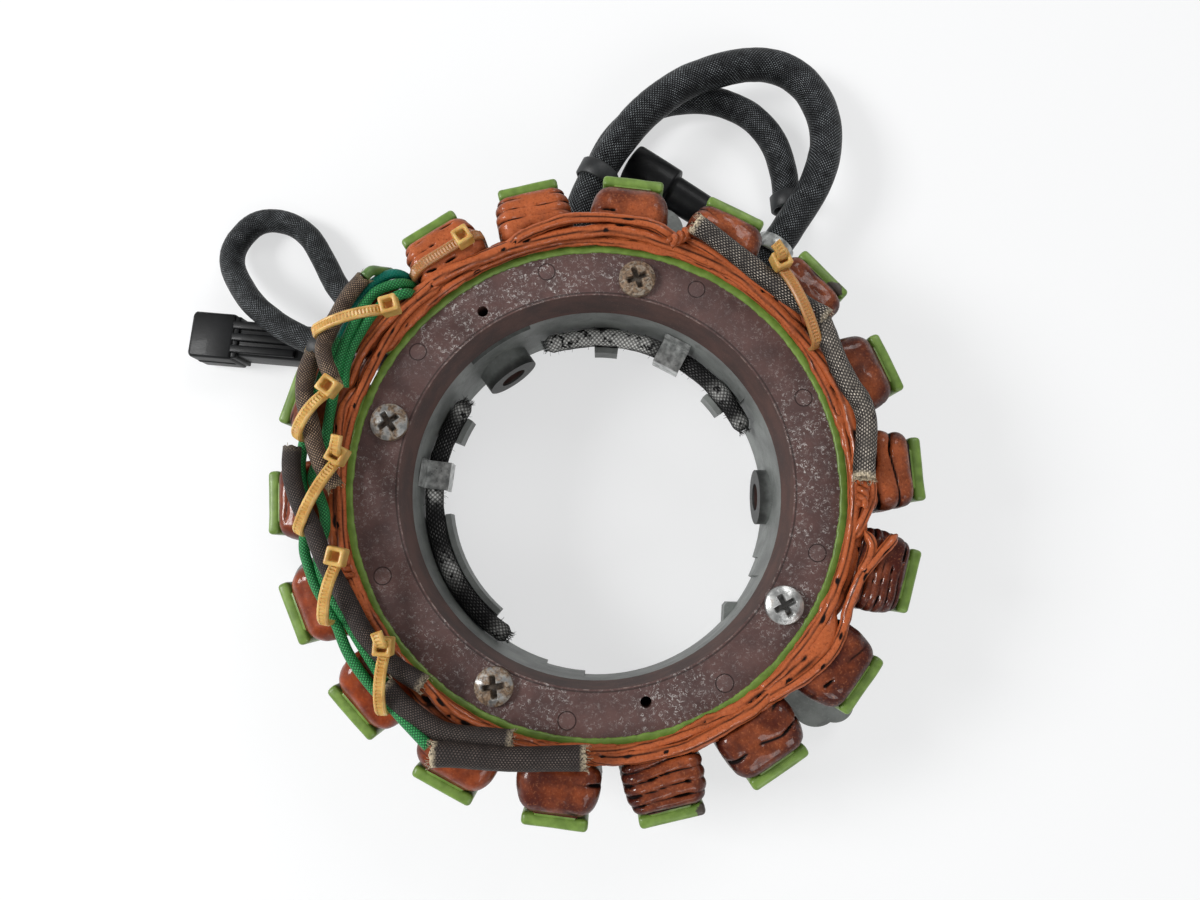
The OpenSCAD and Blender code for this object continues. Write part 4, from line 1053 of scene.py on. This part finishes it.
leadLook = {"radius": 1.28, "sides": 24, "step": 0.8, "z": coilTop + 1.6, "tealLong": {"leadOuter": 34}}
leads = {
    "leadOuter": ("lead_green", greenBraid, [[
        (73, 132, -14), (73.2, 132.4, -6), (74.3, 134.2, -1.5), (75.2, 137.9, -0.2), (74.9, 141.9, -0.2),
        (74.3, 144.9, -0.2), (73.2, 148.8, -0.2), (72.6, 157, 0), (72.2, 165, 0), (72, 174.9, 0), (71.5, 178.7, 0),
        (70.8, 182.1, 0), (70.4, 187, 0), (71.6, 192.4, 0), (71.5, 195.8, 0), (71, 200.4, 0), (69.9, 207.9, 0),
        (70.8, 214.8, 0), (70.9, 222.2, 0.3), (70.4, 227.1, 1), (70.6, 231.6, 2), (71.5, 237.8, 3.2)]]),
    "leadInner": ("lead_teal", greenBraid, [[
        (69.5, 132.4, -13), (70.2, 132.6, -6), (70.8, 134.4, -1), (72.5, 138.4, 1.1), (72.8, 142.1, 1.1),
        (72.1, 145.8, 1), (71.3, 150, 0.7), (70.4, 153.9, 0.3), (69, 158.5, 0), (67.9, 162.7, 0), (67.3, 166.2, 0),
        (66.8, 171.3, 0), (67.8, 175.5, 0), (68.7, 179, 0), (66.9, 182.8, 0), (65.8, 186.4, 0), (66.2, 190, 0),
        (68.4, 193.6, 0), (68.9, 198, 0), (68.4, 203.3, 0), (67.4, 209, 0), (67.2, 215, 0), (67.4, 220, 0.4),
        (67.6, 223.6, 1.2)],
        [(67.5, 132.8, -11), (67.6, 133.6, -5), (68, 135.2, -0.8), (69.7, 139.3, -0.2), (70.1, 143.2, -0.3),
         (69.8, 147.1, -0.4), (69.4, 151.1, -0.5), (68.6, 155, -0.8), (67, 159, -1.4)]]),
    "leadOlive": ("lead_olive", oliveSkin, [[
        (76.5, 134, -5), (76.5, 135.3, -1), (76.8, 136.6, 2.2), (76.6, 138.4, 3)]])}


def leadShape(points, seed, teal):
    sides, radius = leadLook["sides"], leadLook["radius"]
    path = smoothPath([polar(r, a, leadLook["z"] + dz) for r, a, dz in points], leadLook["step"])
    ring = path[:, None] + radius * around(path, sides)
    far = np.repeat(np.arange(len(path)) * leadLook["step"], sides)
    return tubeShape(path, radius * (0.99 + 0.03 * rough(ring, 4, seed)), sides,
                     bright=0, dyed=ramp(far, teal + 1, teal) * (teal > 0))


for i, (name, (slot, skin, runs)) in enumerate(leads.items()):
    teal = leadLook["tealLong"].get(name, 0)
    addPiece(name, joined([leadShape(points, 1100 + 3 * i + j, teal) for j, points in enumerate(runs)]), skin, slot,
             nodeName(name))
print("leads are laid")


# Cable ties: place of the head and the far end, rise of the crown, then the cut tail and how aged it is

ties = [((-50.6, 41.8), (-67.8, 36.7), 1.2, 0, 0.15), ((-63.4, 21.1), (-70.5, 11.2), 2.6, 0, 0.0),
        ((-60.9, 4.9), (-69.4, -11.3), 1.4, 1.6, 0.1), ((-59.7, -18.8), (-62.5, -32.1), 1.6, 0, 0.1),
        ((-48.6, -39.2), (-49.2, -52.7), -1.0, 0.9, 0.1), ((46.1, 53.6), (54.2, 34.8), -2.4, 1.0, 0.9)]
tieLook = {"wide": 2.6, "thick": 1.0, "head": 4.3, "drop": 3.0, "hang": 6.5, "z": coilTop + 9.6, "step": 0.42,
           "ribHigh": 0.16, "ribLow": -0.1, "coilPole": 6}


def strapShape(path, side, top, aged, closed=False):  # a flat strap with fine ribs across its outer face
    w, t = tieLook["wide"] / 2, tieLook["thick"] / 2
    edge = [(w, t * 0.5), (w - 0.35, t)] + [(w - 0.6, t)] * (not closed) + [(w - 0.75, t * 0.75)]
    x, z = np.array([(-w, -t), (w, -t)] + edge + [(-a, b) for a, b in edge[::-1]]).T
    count = len(path)
    rib = np.where(np.arange(count) % 2, tieLook["ribHigh"], tieLook["ribLow"])[:, None] * (np.abs(x) < w - 0.7)
    verts = path[:, None] + side[:, None] * x[:, None] + top[:, None] * (z + rib)[..., None]
    faces = gridFaces(count, len(x))
    faces = [face[::-1] for face in faces] if closed else faces + capFaces(count, len(x))
    return shapeOf(verts, faces, valley=0.25 * (rib < 0), aged=aged)


def leaningStrap(points, up, aged):
    path = smoothPath(points, tieLook["step"])
    return strapShape(path, *guides(path, up)[1:], aged)


def headShape(aged):
    size = tieLook["head"]
    shape = bmeshShape(rounded(sunk(cube((size, size, size)), 2, 1.4, 2.0), 0.45))
    x, y, z = shape["verts"].T
    pocket = (np.maximum(np.abs(x), np.abs(y)) < size / 2 - 1.1) & (z < size / 2 - 0.6)
    return shapeOf(shape["verts"], shape["faces"], valley=0.9 * pocket, aged=aged * 0.3)


def tieShape(head, far, crown, tail, aged):
    head, far = np.array(head, float), np.array(far, float)
    reach, drop, thick = np.linalg.norm(far - head), tieLook["drop"], tieLook["thick"]
    lean = math.degrees(math.atan2(far[1] - head[1], far[0] - head[0]))
    arch = (reach * reach / 4 + drop * drop) / (2 * drop)
    x = np.linspace(-0.5, reach, 40)
    z = np.sqrt(np.maximum(arch ** 2 - (x - reach / 2) ** 2, 0)) - arch - thick / 2
    line = [(a, 0, b) for a, b in zip(x, z)]
    line += [(reach + a, 0, z[-1] - b) for a, b in ((0.8, 1.5), (0.9, 3.4), (0.3, tieLook["hang"]))]
    parts = [leaningStrap(line, (0.35, 0, 1.0), aged),
             moved(headShape(aged), (thick - tieLook["head"] / 2, 0, -drop - thick + tieLook["head"] / 2))]
    if tail:
        parts.append(leaningStrap([(-1.2, 0, -1.0), (-1.6, 0, 0.6), (-2.4, -0.2, 1.6), (-3.2 - tail * 0.6, -0.6, 2.2),
                                   (-3.6 - tail, -0.9, 2.5)], (0.4, 0, 1.0), aged * 0.4))
    return moved(joined(parts), (head[0], head[1], tieLook["z"] + crown), lean)


def coilTieShape():  # the tie that runs round one whole winding
    a, b = winding["halfWide"], winding["halfHigh"]
    r = winding["thick"] + 0.3 + tieLook["thick"] / 2
    ring = []
    for cx, cz, start in ((a, b, 90), (a, -b, 0), (-a, -b, -90), (-a, b, -180)):
        for step in range(0, 91, 10):
            turn = math.radians(start - step)
            ring.append((0, cx + r * math.cos(turn), cz + r * math.sin(turn)))
    path = smoothPath(ring + ring[:1], tieLook["step"])
    out = -unit(np.cross(np.gradient(path, axis=0), (1, 0, 0)))
    if np.dot(out[0], path[0]) < 0:
        out = -out
    head = moved(headShape(0.1), (0, -a - 0.6, b + winding["thick"] - 0.3 + tieLook["head"] / 2))
    both = joined([strapShape(path, np.array([(1.0, 0, 0)]), out, 1.0, closed=True), head])
    along = winding["inner"] + 0.4 * (winding["outer"] - winding["inner"])
    return moved(moved(both, (along, 0, midZ)), (0, 0, 0), poleAngles[tieLook["coilPole"]])


for i, look in enumerate(ties, 1):
    addPiece(f"cableTie{i}", tieShape(*look), amber, "tie", f"cable_tie_{i}", smooth=False)
addPiece("coilTie", coilTieShape(), amber, "tie", "coil_tie", smooth=False)
print("ties are pulled")


# Braided cables on the inner wall of the carrier

boreLook = {"radius": 2.7, "lineR": 47.0, "z": 13.5, "sides": 32, "endHairs": 60, "sideHairs": 90}
# seed, both end angles, then angle, reach and strength of each worn place
boreCables = {
    "boreCableRight": (1200, 24, 109, [(78, 7, 1.3), (92, 10, 1.7), (104, 4, 1.0), (40, 3, 0.5), (27, 2, 0.4)]),
    "boreCableLeft": (1210, 144, 238, [(148, 3, 0.5), (179, 3, 0.7), (207, 5, 0.45), (234, 3, 0.3)])}


def boreCableShape(seed, start, end, worn):
    angles = np.linspace(start + 0.3, end - 0.3, int((end - start) * 1.3))
    path = np.array([polar(boreLook["lineR"], a, boreLook["z"]) for a in angles])
    sides = boreLook["sides"]
    out = around(path, sides, 1.0, sky)
    ring = path[:, None] + boreLook["radius"] * out
    lump = rough(ring, 4, seed) * 0.07 + rough(ring, 1.2, seed + 1) * 0.04
    tip = np.minimum(1, 0.55 + np.minimum(angles - start, end - angles) / 5)
    bright = sum(level * np.exp(-((angles[:, None] - centre) / wide) ** 2) * ramp(out[..., 2], -0.1, 0.8)
                 for centre, wide, level in worn) * (0.75 + 0.5 * rough(ring, 2.2, seed + 2))
    shape = tubeShape(path, boreLook["radius"] * tip[:, None] * (0.97 + lump), sides, up=sky,
                      bright=np.clip(bright * 1.5, 0, 1))
    skin = shape["verts"].reshape(len(path), sides, 3)
    roots, ways = [], []
    for spot, ahead in ((0, path[0] - path[1]), (-1, path[-1] - path[-2])):
        for _ in range(boreLook["endHairs"]):
            roots.append(skin[spot, dice.randrange(sides)] * 0.9 + path[spot] * 0.1)
            ways.append(ahead)
    for _ in range(boreLook["sideHairs"]):
        i, j = dice.randrange(len(path)), dice.randrange(sides)
        roots.append(skin[i, j])
        ways.append((skin[i, j] - path[i]) * 0.5 + (path[-1] - path[-2]))
    fuzz = hairs(roots, [Vector(way).normalized() for way in ways], 1.5, 0.06, 0.9, bright=0.1)
    return joined([shape, fuzz])


for name, look in boreCables.items():
    addPiece(name, boreCableShape(*look), boreBraid, "braid", nodeName(name))
print("inner cables are in")


# Finishes and broken edges for the solids that stay

kept = {"core_stack": (coreFinish("brownCore"), 0.0), "core_rivets": (coreFinish("brownRivet", 8), 0.15),
        "carrier_ring": (castFinish(), 0.35), "cable_clips": (brightSteel, 0.25), "cable_grommets": (rubber, 0.3)}
for name, (skin, bevel) in kept.items():
    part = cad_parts[name]
    part.data.materials.clear()
    part.data.materials.append(skin)
    if bevel:
        edge = part.modifiers.new("brokenEdge", "BEVEL")
        edge.width, edge.segments, edge.limit_method, edge.angle_limit = bevel * mm, 2, "ANGLE", math.radians(40)
print("solids are finished")
